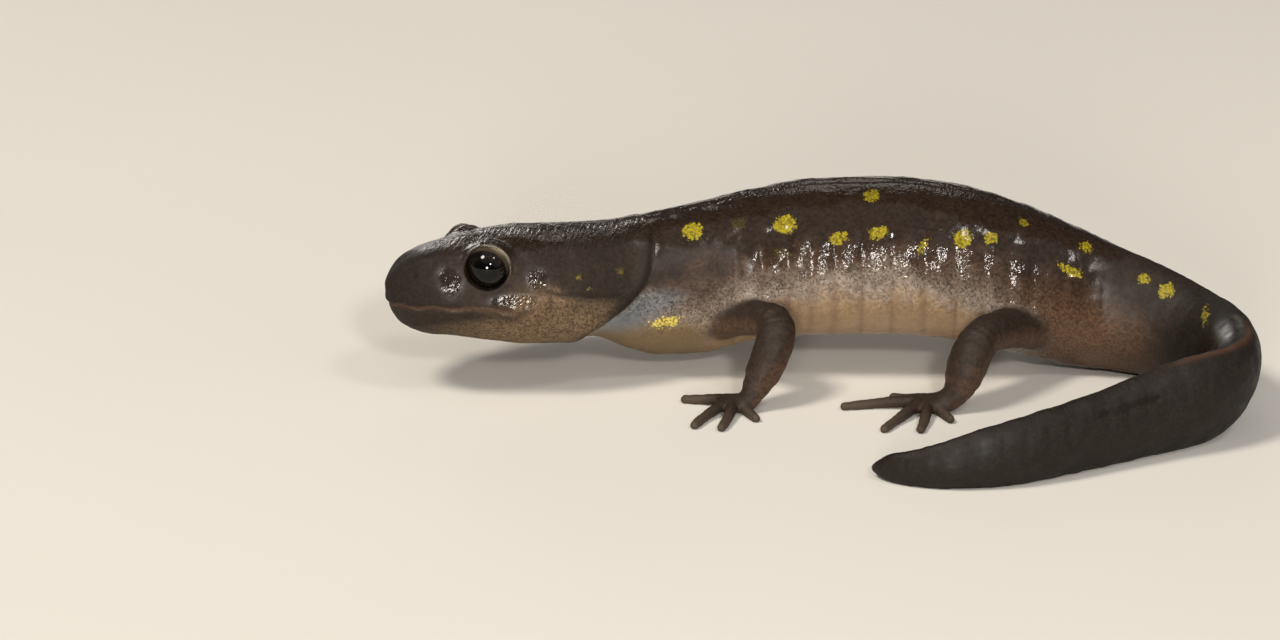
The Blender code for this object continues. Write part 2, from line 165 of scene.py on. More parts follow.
def monotone(knots, values):
    """A smooth curve through a column of a table that never overshoots its rows."""
    x = np.asarray(knots, float)
    y = np.asarray(values, float)
    width = np.diff(x)
    slope = np.diff(y) / width
    before, after = slope[:-1], slope[1:]
    w1 = 2.0 * width[1:] + width[:-1]
    w2 = width[1:] + 2.0 * width[:-1]
    same_way = before * after > 0.0
    safe_before = np.where(same_way, before, 1.0)
    safe_after = np.where(same_way, after, 1.0)
    tangent = np.empty_like(y)
    tangent[0], tangent[-1] = slope[0], slope[-1]
    tangent[1:-1] = np.where(same_way, (w1 + w2) / (w1 / safe_before + w2 / safe_after), 0.0)

    def read(at):
        at = np.clip(at, x[0], x[-1])
        i = np.clip(np.searchsorted(x, at, side="right") - 1, 0, len(width) - 1)
        h = width[i]
        t = (at - x[i]) / h
        return ((1 + 2 * t) * (1 - t) ** 2 * y[i] + t * (1 - t) ** 2 * h * tangent[i]
                + t * t * (3 - 2 * t) * y[i + 1] + t * t * (t - 1) * h * tangent[i + 1])

    return read


def columns(table):
    """One smooth curve for each column of a table after its first."""
    knots = [row[0] for row in table]
    return [monotone(knots, [row[c] for row in table]) for c in range(1, len(table[0]))]


def ramp(low, high, x):
    """0 below low, 1 above high, and a smooth step between them."""
    t = np.clip((x - low) / (high - low), 0.0, 1.0)
    return t * t * (3.0 - 2.0 * t)


def window(x, start, full, fading, end):
    """0 up to start, 1 from full to fading and 0 again from end on, with smooth steps."""
    return ramp(start, full, x) * ramp(end, fading, x)


def hump(centre, width, x):
    """A bell of height 1 at the centre that has fallen to a third at the width."""
    return np.exp(-((x - centre) / width) ** 2)


def profile(rows, x):
    """The sum of bells, from rows of centre, width and height."""
    return sum(height * hump(centre, width, x) for centre, width, height in rows)


HEADING = columns(HEADINGS)[0]
SECTION = columns(SECTIONS)


def walk_line():
    """Plan points of the body's line, one every LINE_STEP."""
    steps = int(BODY_LENGTH / LINE_STEP) + 1
    heading = np.radians(HEADING((np.arange(steps) + 0.5) * LINE_STEP))
    moves = LINE_STEP * np.stack([np.cos(heading), np.sin(heading)], axis=1)
    return np.vstack([[NOSE_AT], np.asarray(NOSE_AT) + np.cumsum(moves, axis=0)])


LINE = walk_line()


def on_line(distance):
    """Plan point of the line, the way it heads and the way to the animal's left there."""
    k = np.clip(np.asarray(distance, float) / LINE_STEP, 0.0, len(LINE) - 1.001)
    i = k.astype(int)
    f = (k - i)[..., None]
    heading = np.radians(HEADING(distance))
    along = np.stack([np.cos(heading), np.sin(heading)], axis=-1)
    left = np.stack([np.sin(heading), -np.cos(heading)], axis=-1)
    return LINE[i] * (1 - f) + LINE[i + 1] * f, along, left


def place(distance, side, height):
    """Points from distance along the body, side (left positive) and height in the lean."""
    distance, side, height = np.broadcast_arrays(*(np.asarray(v, float)
                                                   for v in (distance, side, height)))
    centre, _, left = on_line(distance)
    level, lean = SECTION[2](distance), np.radians(SECTION[6](distance))
    above = height - level
    across = side * np.cos(lean) - above * np.sin(lean)
    up = side * np.sin(lean) + above * np.cos(lean)
    plan = centre + left * across[..., None]
    return np.concatenate([plan, (level + up)[..., None]], axis=-1)


def beside_line(x, y):
    """How far along the body's line and how far to its left each plan point lies."""
    coarse, batch = 8, 20000
    posts = LINE[::coarse]
    nearest = np.empty(len(x), int)
    for start in range(0, len(x), batch):
        end = start + batch
        gap = ((x[start:end, None] - posts[:, 0]) ** 2 + (y[start:end, None] - posts[:, 1]) ** 2)
        nearest[start:end] = gap.argmin(axis=1) * coarse
    best = np.full(len(x), np.inf)
    chosen = nearest.copy()
    for shift in range(-coarse, coarse + 1):
        k = np.clip(nearest + shift, 0, len(LINE) - 1)
        gap = (x - LINE[k, 0]) ** 2 + (y - LINE[k, 1]) ** 2
        closer = gap < best
        best = np.where(closer, gap, best)
        chosen = np.where(closer, k, chosen)
    heading = np.radians(HEADING(chosen * LINE_STEP))
    dx, dy = x - LINE[chosen, 0], y - LINE[chosen, 1]
    along = dx * np.cos(heading) + dy * np.sin(heading)
    return chosen * LINE_STEP + along, dx * np.sin(heading) - dy * np.cos(heading)


def upright(distance, across, z):
    """Side and height above the widest level, in the section's own lean."""
    level, lean = SECTION[2](distance), np.radians(SECTION[6](distance))
    up = z - level
    return across * np.cos(lean) + up * np.sin(lean), up * np.cos(lean) - across * np.sin(lean)


# ---------------------------------------------------------------------------
# The flesh as a field of distances, below 0 inside it.
# ---------------------------------------------------------------------------

def body_distance(distance, across, z):
    """Distance from the surface of the head, trunk and tail."""
    at = np.clip(distance, 0.0, BODY_LENGTH)
    half, top, level, bottom, n_top, n_bottom, _ = (read(at) for read in SECTION)
    side, above = upright(at, across, z)
    past_snout = np.clip(1.0 - distance / SNOUT_ROUND, 0.0, None)
    past_tip = np.clip(1.0 - (BODY_LENGTH - distance) / TIP_ROUND, 0.0, None)
    past = np.maximum(past_snout, past_tip)
    pole = np.where(past_snout > 0.0, SNOUT_LEVEL, TIP_LEVEL)
    deep = np.where(past_snout > 0.0, SNOUT_ROUND, TIP_ROUND)
    drawn = np.sqrt(np.clip(1.0 - past ** 2, 0.0, 1.0))
    above = above - (pole - level) * (1.0 - drawn)
    upper = above > 0.0
    reach = np.where(upper, top - level, level - bottom)
    n = np.where(upper, n_top, n_bottom)
    norm = (np.abs(side / half) ** n + np.abs(above / reach) ** n) ** (1.0 / n)
    norm = np.sqrt(norm ** 2 + past ** 2)
    size = np.sqrt(side ** 2 + above ** 2 + (past * deep) ** 2)
    return size * (1.0 - 1.0 / np.maximum(norm, 1e-6))


def ball_distance(centre, radius):
    """A field round one ball."""
    return lambda points: np.linalg.norm(points - centre, axis=-1) - radius


def tube_distance(points, tube):
    """Distance from a curved tube of oval section, and the knot number nearest to each point."""
    best = np.full(len(points), 1e3)
    knot = np.zeros(len(points))
    for start, end in zip(tube[:-1], tube[1:]):
        run = end[0] - start[0]
        length = np.linalg.norm(run)
        ahead = run / length
        raw = (points - start[0]) @ ahead / length
        t = np.clip(raw, 0.0, 1.0)
        wide = start[3] + (end[3] - start[3]) * t
        thick = start[4] + (end[4] - start[4]) * t
        offset = points - start[0] - run * t[:, None]
        u = offset @ start[1] * (1 - t) + offset @ end[1] * t
        v = offset @ start[2] * (1 - t) + offset @ end[2] * t
        w = (raw - t) * length
        norm = np.sqrt((u / wide) ** 2 + (v / thick) ** 2 + (w / thick) ** 2)
        size = np.sqrt(u ** 2 + v ** 2 + w ** 2)
        gap = size * (1.0 - 1.0 / np.maximum(norm, 1e-6))
        closer = gap < best
        best = np.where(closer, gap, best)
        knot = np.where(closer, start[5] + (end[5] - start[5]) * t, knot)
    return best, knot


def soft_union(a, b, blend):
    """The union of two fields with a fillet about as wide as blend."""
    h = np.clip(blend - np.abs(a - b), 0.0, None) / blend
    return np.minimum(a, b) - h * h * blend / 4.0


def bend_through(points, per_span):
    """A smooth curve through the points: the knot number and place of each sample."""
    ends = [points[0] * 2 - points[1]] + list(points) + [points[-1] * 2 - points[-2]]
    samples = []
    for i in range(1, len(ends) - 2):
        a, b, c, d = ends[i - 1:i + 3]
        for k in range(per_span):
            t = k / per_span
            samples.append((i - 1 + t, 0.5 * (2 * b + (c - a) * t
                                              + (2 * a - 5 * b + 4 * c - d) * t * t
                                              + (3 * b - a - 3 * c + d) * t ** 3)))
    samples.append((len(points) - 1.0, points[-1]))
    return samples


def make_tube(samples, radii, across_end):
    """Rows of centre, across, up, wide, thick and knot along a curve, kept from twisting."""
    wide_of, thick_of = columns(radii)
    across = across_end / np.linalg.norm(across_end)
    tube = []
    for i in range(len(samples) - 1, -1, -1):
        knot, centre = samples[i]
        ahead = samples[min(i + 1, len(samples) - 1)][1] - samples[max(i - 1, 0)][1]
        ahead = ahead / np.linalg.norm(ahead)
        across = across - ahead * (across @ ahead)
        across = across / np.linalg.norm(across)
        upward = np.cross(across, ahead)
        wide, thick = float(wide_of(knot)), float(thick_of(knot))
        tube.insert(0, (centre, across, upward, wide, thick, knot))
    return tube


def heading_of(distance, sign, outwards):
    """Unit direction on the floor, turned outwards from straight ahead by degrees."""
    _, along, left = on_line(distance)
    angle = math.radians(outwards)
    plan = -along * math.cos(angle) + left * sign * math.sin(angle)
    return np.array([plan[0], plan[1], 0.0])


def beside(distance, side, height):
    """A point beside the body's line that doesn't lean with the section."""
    centre, _, left = on_line(distance)
    plan = centre + left * side
    return np.array([plan[0], plan[1], height])


def leg_tubes(sign, radii, joints, palm, digits):
    """The tube of one leg down to its palm, and the tubes of its digits."""
    root, bend, wrist = (beside(d, side * sign, height) for d, side, height in joints)
    foot_at = joints[2][0]
    reach_middle, reach_front, angle = palm
    ahead = heading_of(foot_at, sign, angle)
    ground = np.array([wrist[0], wrist[1], PALM_HEIGHT])
    middle = ground + ahead * reach_middle
    front = ground + ahead * reach_front
    upright_axis = np.array([0.0, 0.0, 1.0])
    samples = bend_through([root, bend, wrist, middle, front], SAMPLES_IN_LEG)
    leg = make_tube(samples, radii, np.cross(ahead, upright_axis))
    toes = []
    thick = [(k, r, r) for k, r in enumerate(TOE_THICK)]
    steps = len(TOE_HEIGHTS) - 1
    for angle, length, turn in digits:
        ways = [heading_of(foot_at, sign, angle + turn * j / steps) for j in range(steps + 1)]
        spot = np.array([middle[0], middle[1], 0.0]) + ways[0] * TOE_ROOT_OUT
        points = []
        for way, height in zip(ways, TOE_HEIGHTS):
            points.append(spot + upright_axis * height)
            spot = spot + way * ((length + TOE_ROOT_IN) / steps)
        samples = bend_through(points, SAMPLES_IN_TOE)
        toes.append(make_tube(samples, thick, np.cross(ways[-1], upright_axis)))
    return leg, toes


LEGS = [leg_tubes(*limb) for limb in LIMBS]
EYES = [place(EYE_PLACE[0], EYE_PLACE[1] * sign, EYE_PLACE[2]) for sign in (1, -1)]
ORBITS = [place(ORBIT_PLACE[0], ORBIT_PLACE[1] * sign, ORBIT_PLACE[2]) for sign in (1, -1)]
TOE_FILLET = 0.22
SHOULDER_FILLET = 0.6
ORBIT_FILLET = 0.45
LID_DOME = 1.37
LID_FILLET = 0.34
OPENING_SHIFT = 0.55        # how far the ball that cuts the lids' opening lies before the eye
OPENING_FILLET = 0.10
LID_EDGE = 0.060
LID_EDGE_FILLET = 0.14
# The eye looks this far forwards from straight sideways and this far up, in degrees.
GAZE = (26.0, 4.0)
LID_OPENING = 69.0          # half the angle that the lids leave open
LID_LEANS_BACK = 33.0       # degrees that the upper lid's middle lies behind straight up
LID_DROP = 0.24             # how far the lid shifts the clear part of the eye from its gaze
CLEAR_EYE = 65.0            # half the angle of that clear part
CORNEA_SPREAD = 38.0        # degrees from the gaze at which its bulge has fallen to a third
EYE_RINGS = 48
EYE_SEGMENTS = 72
LID_FOLD_REACH = 2.8        # how far from the eye's centre the fold round the lids reaches
LID_FOLD_DEPTH = 0.12       # and how far inside their dome it starts
LID_EDGE_SINK = 0.02        # how far the bead along the lids' edge lies under their dome
LID_EDGE_TURN = 3.0         # degrees that it lies outside their opening
LEG_REACH = 2.2             # how far from a leg's line its field is worked out
TOE_REACH = 0.7
BODY_REACH = 6.0            # the same for the body, sideways and past its ends
END_REACH = 1.0
FAR = 5.0                   # the field's value everywhere else
PINCH_FILL = 0.004
LONGEST_STEP = 0.08         # how far a vertex may move in one round of settling
LEAST_SLOPE = 0.3           # and the least steepness of the field that it counts on


def tube_field(tube):
    """A field round one tube."""
    return lambda points: tube_distance(points, tube)[0]


def tube_box(tube, margin):
    """Lowest and highest corner of the space round one tube."""
    centres = np.array([row[0] for row in tube])
    return centres.min(axis=0) - margin, centres.max(axis=0) + margin


def gaze_of(sign):
    """The way an eye looks, as a unit vector."""
    forwards, upwards = (math.radians(a) for a in GAZE)
    _, along, left = on_line(EYE_PLACE[0])
    plan = left * sign * math.cos(forwards) - along * math.sin(forwards)
    return np.array([*(plan * math.cos(upwards)), math.sin(upwards)])


def lid_middle():
    """The way from an eye's centre to the middle of its upper lid, as a unit vector."""
    back = math.radians(LID_LEANS_BACK)
    _, along, _ = on_line(EYE_PLACE[0])
    return np.array([*(along * math.sin(back)), math.cos(back)])


def hoop_distance(centre, axis, reach, angle, radius):
    """A field round a ring that lies at an angle from an axis, at a reach from the centre."""
    middle = centre + axis * reach * math.cos(math.radians(angle))
    wide = reach * math.sin(math.radians(angle))

    def read(points):
        offset = points - middle
        up = offset @ axis
        out = np.sqrt(np.maximum((offset ** 2).sum(axis=1) - up ** 2, 0.0))
        return np.hypot(out - wide, up) - radius
    return read


def flesh_parts():
    """What is joined to the body or cut from it: box, field, softness, and 1 or -1 for a cut."""
    parts = []
    margin = ORBIT_RADIUS + ORBIT_FILLET
    for orbit, eye, sign in zip(ORBITS, EYES, (1, -1)):
        gaze = gaze_of(sign)
        opening = eye + gaze * OPENING_SHIFT
        cut = math.sqrt(LID_DOME ** 2 + OPENING_SHIFT ** 2 - 2.0 * LID_DOME * OPENING_SHIFT
                        * math.cos(math.radians(LID_OPENING)))
        edge = hoop_distance(eye, gaze, LID_DOME - LID_EDGE_SINK, LID_OPENING + LID_EDGE_TURN,
                             LID_EDGE)
        for centre, field, blend, way in (
                (orbit, ball_distance(orbit, ORBIT_RADIUS), ORBIT_FILLET, 1),
                (eye, ball_distance(eye, LID_DOME), LID_FILLET, 1),
                (opening, ball_distance(opening, cut), OPENING_FILLET, -1),
                (eye, edge, LID_EDGE_FILLET, 1)):
            parts.append((centre - margin, centre + margin, field, blend, way))
    for leg, toes in LEGS:
        parts.append((*tube_box(leg, LEG_REACH), tube_field(leg), SHOULDER_FILLET, 1))
        for toe in toes:
            parts.append((*tube_box(toe, TOE_REACH), tube_field(toe), TOE_FILLET, 1))
    return parts


def flesh_distance(points, parts):
    """Distance of points from the whole skin, below 0 inside; the floor cuts it flat."""
    distance, across = beside_line(points[:, 0], points[:, 1])
    found = body_distance(distance, across, points[:, 2])
    for low, high, field, blend, way in parts:
        near = np.all((points > low) & (points < high), axis=1)
        if near.any():
            found[near] = way * soft_union(way * found[near], field(points[near]), blend)
    return np.maximum(found, -points[:, 2])


# ---------------------------------------------------------------------------
# From the field to a mesh.
# ---------------------------------------------------------------------------

def grid_axes(fine, coarse, across_step, up_step):
    """Grid planes along X, Y and Z; those along X are closer together over the head."""
    low, high = (np.array(c) / MM for c in CAD_BOX)
    margin = 3.0 * coarse
    head = np.arange(low[0] - margin, HEAD_END, fine)
    middle = HEAD_END + np.cumsum(np.linspace(fine, coarse, WIDENING))
    rest = np.arange(middle[-1] + coarse, high[0] + margin, coarse)
    return (np.concatenate([head, middle, rest]),
            np.arange(low[1] - margin, high[1] + margin, across_step),
            np.arange(-2.5 * up_step, high[2] + 4.0 * up_step, up_step))


def field_on_grid(axes, parts):
    """The flesh's distances at every grid point near it."""
    xs, ys, zs = axes
    plan_x, plan_y = (a.ravel() for a in np.meshgrid(xs, ys, indexing="ij"))
    distance, across = beside_line(plan_x, plan_y)
    near = ((np.abs(across) < BODY_REACH) & (distance > -END_REACH)
            & (distance < BODY_LENGTH + END_REACH))
    field = np.full((len(plan_x), len(zs)), FAR, np.float32)
    field[near] = body_distance(distance[near, None], across[near, None], zs[None, :])
    field = field.reshape(len(xs), len(ys), len(zs))
    for low, high, read, blend, way in parts:
        spans = [slice(*np.searchsorted(axis, (a, b))) for axis, a, b in zip(axes, low, high)]
        box = np.meshgrid(*(axis[span] for axis, span in zip(axes, spans)), indexing="ij")
        points = np.stack([a.ravel() for a in box], axis=1)
        joined = soft_union(way * field[tuple(spans)].ravel(), read(points), blend)
        field[tuple(spans)] = way * joined.reshape(box[0].shape)
    return np.maximum(field, -zs[None, None, :]).astype(np.float32)


def without_pinches(field):
    """Fill grid faces whose inside corners touch only across a diagonal, so the net is sound."""
    for _ in range(3):
        inside = field < 0.0
        for u, v in ((0, 1), (0, 2), (1, 2)):
            low = {u: slice(0, -1), v: slice(0, -1)}
            high = {u: slice(1, None), v: slice(1, None)}

            def corner(first, second):
                span = [slice(None)] * 3
                span[u], span[v] = first[u], second[v]
                return tuple(span)

            a, b = corner(low, low), corner(high, low)
            c, d = corner(low, high), corner(high, high)
            fill_sides = inside[a] & inside[d] & ~inside[b] & ~inside[c]
            fill_ends = inside[b] & inside[c] & ~inside[a] & ~inside[d]
            for at, fill in ((b, fill_sides), (c, fill_sides), (a, fill_ends), (d, fill_ends)):
                part = field[at]
                part[fill] = -PINCH_FILL
    return field


def net_of_cells(field, axes):
    """A closed net of four-sided faces with one vertex in each cell that the surface crosses."""
    inside = field < 0.0
    shape = tuple(n - 1 for n in field.shape)
    corners = [(i, j, k) for i in (0, 1) for j in (0, 1) for k in (0, 1)]
    count = np.zeros(shape, np.int8)
    for i, j, k in corners:
        count += inside[i:i + shape[0], j:j + shape[1], k:k + shape[2]]
    crossed = (count > 0) & (count < 8)
    cells = np.argwhere(crossed)
    number = np.full(shape, -1, np.int32)
    number[crossed] = np.arange(len(cells), dtype=np.int32)
    total = np.zeros((len(cells), 3))
    hits = np.zeros(len(cells))
    for axis in range(3):
        others = [a for a in range(3) if a != axis]
        for p in (0, 1):
            for q in (0, 1):
                start = cells.copy()
                start[:, others[0]] += p
                start[:, others[1]] += q
                end = start.copy()
                end[:, axis] += 1
                a = field[tuple(start.T)].astype(float)
                b = field[tuple(end.T)].astype(float)
                hit = (a < 0.0) != (b < 0.0)
                t = np.where(hit, a / np.where(hit, a - b, 1.0), 0.0)
                point = np.stack([axes[m][start[:, m]] for m in range(3)], axis=1)
                point[:, axis] += t * (axes[axis][end[:, axis]] - axes[axis][start[:, axis]])
                total += point * hit[:, None]
                hits += hit
    vertices = total / hits[:, None]
    faces = []
    for axis in range(3):
        u, v = (axis + 1) % 3, (axis + 2) % 3
        before = [slice(None)] * 3
        after = [slice(None)] * 3
        before[axis] = slice(0, -1)
        after[axis] = slice(1, None)
        a, b = inside[tuple(before)], inside[tuple(after)]
        for entering in (True, False):
            edge = np.argwhere((a & ~b) if entering else (~a & b))
            quad = []
            for du, dv in ((-1, -1), (0, -1), (0, 0), (-1, 0)):
                cell = edge.copy()
                cell[:, u] += du
                cell[:, v] += dv
                quad.append(number[tuple(cell.T)])
            quad = np.stack(quad, axis=1)
            faces.append(quad if entering else quad[:, ::-1])
    return vertices, np.concatenate(faces)


def neighbours(faces, count):
    """The two ends of every edge of the net, both ways round, and how many meet each vertex."""
    start = faces.ravel()
    end = np.roll(faces, -1, axis=1).ravel()
    return start, end, np.bincount(start, minlength=count)


def relax(points, links, share):
    """Move every vertex part of the way to the mean of its neighbours."""
    start, end, valence = links
    mean = np.stack([np.bincount(start, points[end, axis], len(points)) for axis in range(3)],
                    axis=1) / valence[:, None]
    return points + (mean - points) * share


def slope_of(points, parts, step=0.02):
    """The way out of the flesh at each point, and how fast the field grows that way."""
    slope = np.empty_like(points)
    for axis in range(3):
        shift = np.zeros(3)
        shift[axis] = step
        slope[:, axis] = (flesh_distance(points + shift, parts)
                          - flesh_distance(points - shift, parts)) / (2.0 * step)
    size = np.linalg.norm(slope, axis=1)
    return slope / np.maximum(size, 1e-6)[:, None], size


def settle(points, parts, rounds):
    """Bring vertices onto the surface of the flesh; returns them and the way out."""
    for _ in range(rounds):
        out, rate = slope_of(points, parts)
        gap = flesh_distance(points, parts) / np.maximum(rate, LEAST_SLOPE)
        points = points - out * np.clip(gap, -LONGEST_STEP, LONGEST_STEP)[:, None]
    return points, out


def bare_flesh(fine, coarse, across_step, up_step):
    """The smooth flesh: vertices, faces and the way out at each vertex."""
    parts = flesh_parts()
    axes = grid_axes(fine, coarse, across_step, up_step)
    points, faces = net_of_cells(without_pinches(field_on_grid(axes, parts)), axes)
    links = neighbours(faces, len(points))
    points = relax(relax(points, links, 0.5), links, 0.5)
    points, _ = settle(points, parts, 1)
    points = relax(points, links, 0.35)
    points, out = settle(points, parts, 2)
    return points, faces, out


# ---------------------------------------------------------------------------
# Where things are on the skin.
# ---------------------------------------------------------------------------

MOUTH_LINE = monotone((0.0, 1.4, 3.5, 5.9, 6.9), (5.34, 5.40, 5.27, 5.00, 4.76))
MOUTH_END = 6.5
NOSTRIL_PLACE = (1.30, 1.75, 7.14)
JAW_GROOVE = monotone((7.6, 8.6, 10.2, 11.5, 12.8, 14.0), (6.00, 5.80, 5.54, 5.42, 5.38, 5.28))
# The collar fold leans forwards as it goes down: height, distance from the snout.
COLLAR = monotone((2.2, 3.1, 3.6, 4.5, 5.3, 6.1, 7.0, 8.4, 9.2),
                  (10.7, 11.0, 11.6, 12.8, 13.85, 14.55, 15.0, 15.3, 15.4))
RIB_GROOVES = (18.9, 20.3, 21.9, 23.4, 24.8, 26.2, 27.85, 29.7, 31.55, 33.35, 35.0, 36.5, 37.9)
TAIL_GROOVES = tuple(41.2 + 1.25 * k for k in range(27))
GIRTH_RADIUS = 3.6          # the trunk's, taken as round
RIB_BOW = 0.35              # how strongly the rib grooves bow backwards between back and belly

# Stretches of the body: the distances at which each starts, is full, fades and has ended.
JAW_STRETCH = (7.4, 8.6, 13.4, 14.1)
BACK_GROOVE_STRETCH = (12.0, 15.0, 36.0, 41.0)
RIB_STRETCH = (17.6, 19.5, 37.4, 39.2)
RIB_LINE_STRETCH = (19.2, 20.0, 37.0, 39.0)
HIP_STRETCH = (35.5, 40.0, 45.0, 49.0)
TAIL_GROOVE_STRETCH = (39.5, 42.0, 70.0, 76.0)
BEND_STRETCH = (47.5, 50.0, 57.0, 60.0)
KEEL_STRETCH = (52.0, 54.5, 58.5, 62.0)
FLANK_GLINTS = (20.0, 23.0, 37.5, 41.0)
RIDGE_GLINTS = (14.0, 26.0, 44.0, 48.0)
BEND_FILM = (50.5, 52.0, 55.5, 57.0)
TAIL_FILM = (60.0, 62.0, 66.0, 68.0)

# Relief across folds and grooves: place across, width, how far it stands out.
MOUTH_PROFILE = ((0.0, 0.10, -0.11), (0.26, 0.20, 0.05), (-0.30, 0.22, -0.02))
NOSTRIL_PROFILE = ((0.0, 0.15, -0.20), (0.33, 0.12, 0.045))
JAW_PROFILE = ((0.0, 0.15, -0.13), (0.45, 0.38, 0.10), (-0.4, 0.3, 0.03))
COLLAR_PROFILE = ((0.10, 0.17, -0.19), (-0.42, 0.42, 0.12), (0.55, 0.5, -0.05))
LID_PROFILE = ((0.38, 0.16, -0.045), (0.74, 0.22, 0.024))

# Patches on both sides of the head: distance, its reach, height, its reach.
JAW_MUSCLE = (9.0, 2.2, 5.0, 1.3)
MOUTH_CORNER = (7.65, 0.75, 5.0, 0.8)
TEMPLE = (10.6, 2.4, 7.9, 0.9)
TEMPLE_TROUGH = (8.2, 1.6, 8.75, 0.35)
CHEEK = (7.6, 1.3, 5.3, 0.9)
# those that glint, on the muzzle, behind the eye and on the jowl
HEAD_GLINTS = ((3.05, 0.75, 6.85, 0.95), (7.8, 0.7425, 6.7, 0.7425), (6.4, 1.6, 5.55, 0.50))

# Yellow spots: distance, side, height, reach along, reach round, turn in degrees, strength.
LEFT_SPOTS = (
    (17.8, 2.15, 8.82, 0.60, 0.62, 0, 1.0), (23.3, 3.10, 9.40, 0.66, 0.62, 10, 1.0),
    (26.4, 3.94, 8.80, 0.50, 0.36, 15, 0.95), (28.4, 1.73, 10.63, 0.48, 0.62, 0, 0.75),
    (28.9, 3.82, 9.07, 0.55, 0.38, 12, 0.95), (31.4, 4.11, 8.43, 0.22, 0.40, -30, 0.9),
    (33.7, 3.59, 8.76, 0.52, 0.58, -15, 1.0), (35.4, 3.10, 8.64, 0.42, 0.36, 0, 0.9),
    (37.3, 1.59, 9.08, 0.32, 0.32, 0, 0.6), (41.0, 1.19, 7.65, 0.36, 0.40, 0, 0.9),
    (40.2, 2.55, 6.61, 0.72, 0.30, -22, 1.0), (44.8, 1.36, 5.95, 0.38, 0.34, 0, 0.85),
    (46.4, 1.25, 5.50, 0.46, 0.50, 0, 0.9), (50.1, 1.23, 4.83, 0.75, 0.22, -35, 0.55),
    (15.8, 3.69, 3.84, 0.86, 0.36, 6, 1.2), (20.6, 2.5, 9.23, 0.40, 0.36, 0, 0.08),
    (23.1, 4.05, 7.96, 0.42, 0.36, 0, 0.10), (13.0, 3.55, 6.92, 0.26, 0.22, 0, 0.22),
    (10.3, 4.18, 6.71, 0.16, 0.14, 0, 0.35), (10.7, 4.36, 6.04, 0.12, 0.06, 0, 0.45),
)
RIGHT_SPOTS = (
    (10.9, 3.3, 8.0, 0.42, 0.36, 20, 0.8), (16.9, 2.4, 8.6, 0.62, 0.56, 0, 1.0),
    (20.4, 3.2, 8.7, 0.58, 0.62, 20, 1.0), (22.9, 2.6, 9.9, 0.44, 0.46, 0, 0.9),
    (25.4, 3.6, 9.4, 0.62, 0.56, -10, 1.0), (28.0, 4.1, 8.6, 0.42, 0.36, 0, 0.9),
    (30.6, 2.7, 10.2, 0.58, 0.50, 15, 1.0), (32.6, 3.9, 8.5, 0.50, 0.42, 0, 0.95),
    (35.2, 2.4, 9.3, 0.46, 0.54, 0, 1.0), (38.2, 2.4, 8.2, 0.52, 0.42, 20, 1.0),
    (41.5, 1.5, 7.2, 0.46, 0.42, 0, 0.9), (44.3, 1.3, 6.1, 0.42, 0.42, 0, 0.9),
    (47.3, 1.1, 5.3, 0.46, 0.36, 0, 0.85), (51.6, 1.0, 5.1, 0.38, 0.36, 0, 0.8),
    (15.9, 3.7, 4.0, 0.60, 0.32, 0, 1.1), (18.6, 3.9, 5.9, 0.30, 0.26, 0, 0.7),
)
SPOT_REACH = 2.2            # how far from its middle a spot is looked for
NO_SPOT = 3.0               # the gap to a spot where none is near

# The dark of the back fades down the flank: the share of the body's height at which the skin
# is palest, the share at which it is as dark as the back, and how dark the palest skin is.
FADE_AT = (14.0, 16.0, 18.2, 21.0, 25.0, 30.0, 34.5, 36.5, 38.5, 41.0, 43.5, 46.5, 50.0)
FADE_LOW = monotone(FADE_AT, (0.18, 0.12, -0.05, 0.16, 0.24, 0.26, 0.18, 0.12, 0.10, 0.15,
                              0.30, 0.25, 0.0))
FADE_HIGH = monotone(FADE_AT, (0.78, 0.80, 0.94, 0.88, 0.86, 0.85, 0.90, 0.95, 0.95, 0.95,
                               0.82, 0.75, 0.5))
FADE_FLOOR = monotone(FADE_AT, (0.0, 0.0, 0.05, 0.0, 0.0, 0.0, 0.05, 0.25, 0.45, 0.55,
                                0.62, 0.78, 1.0))


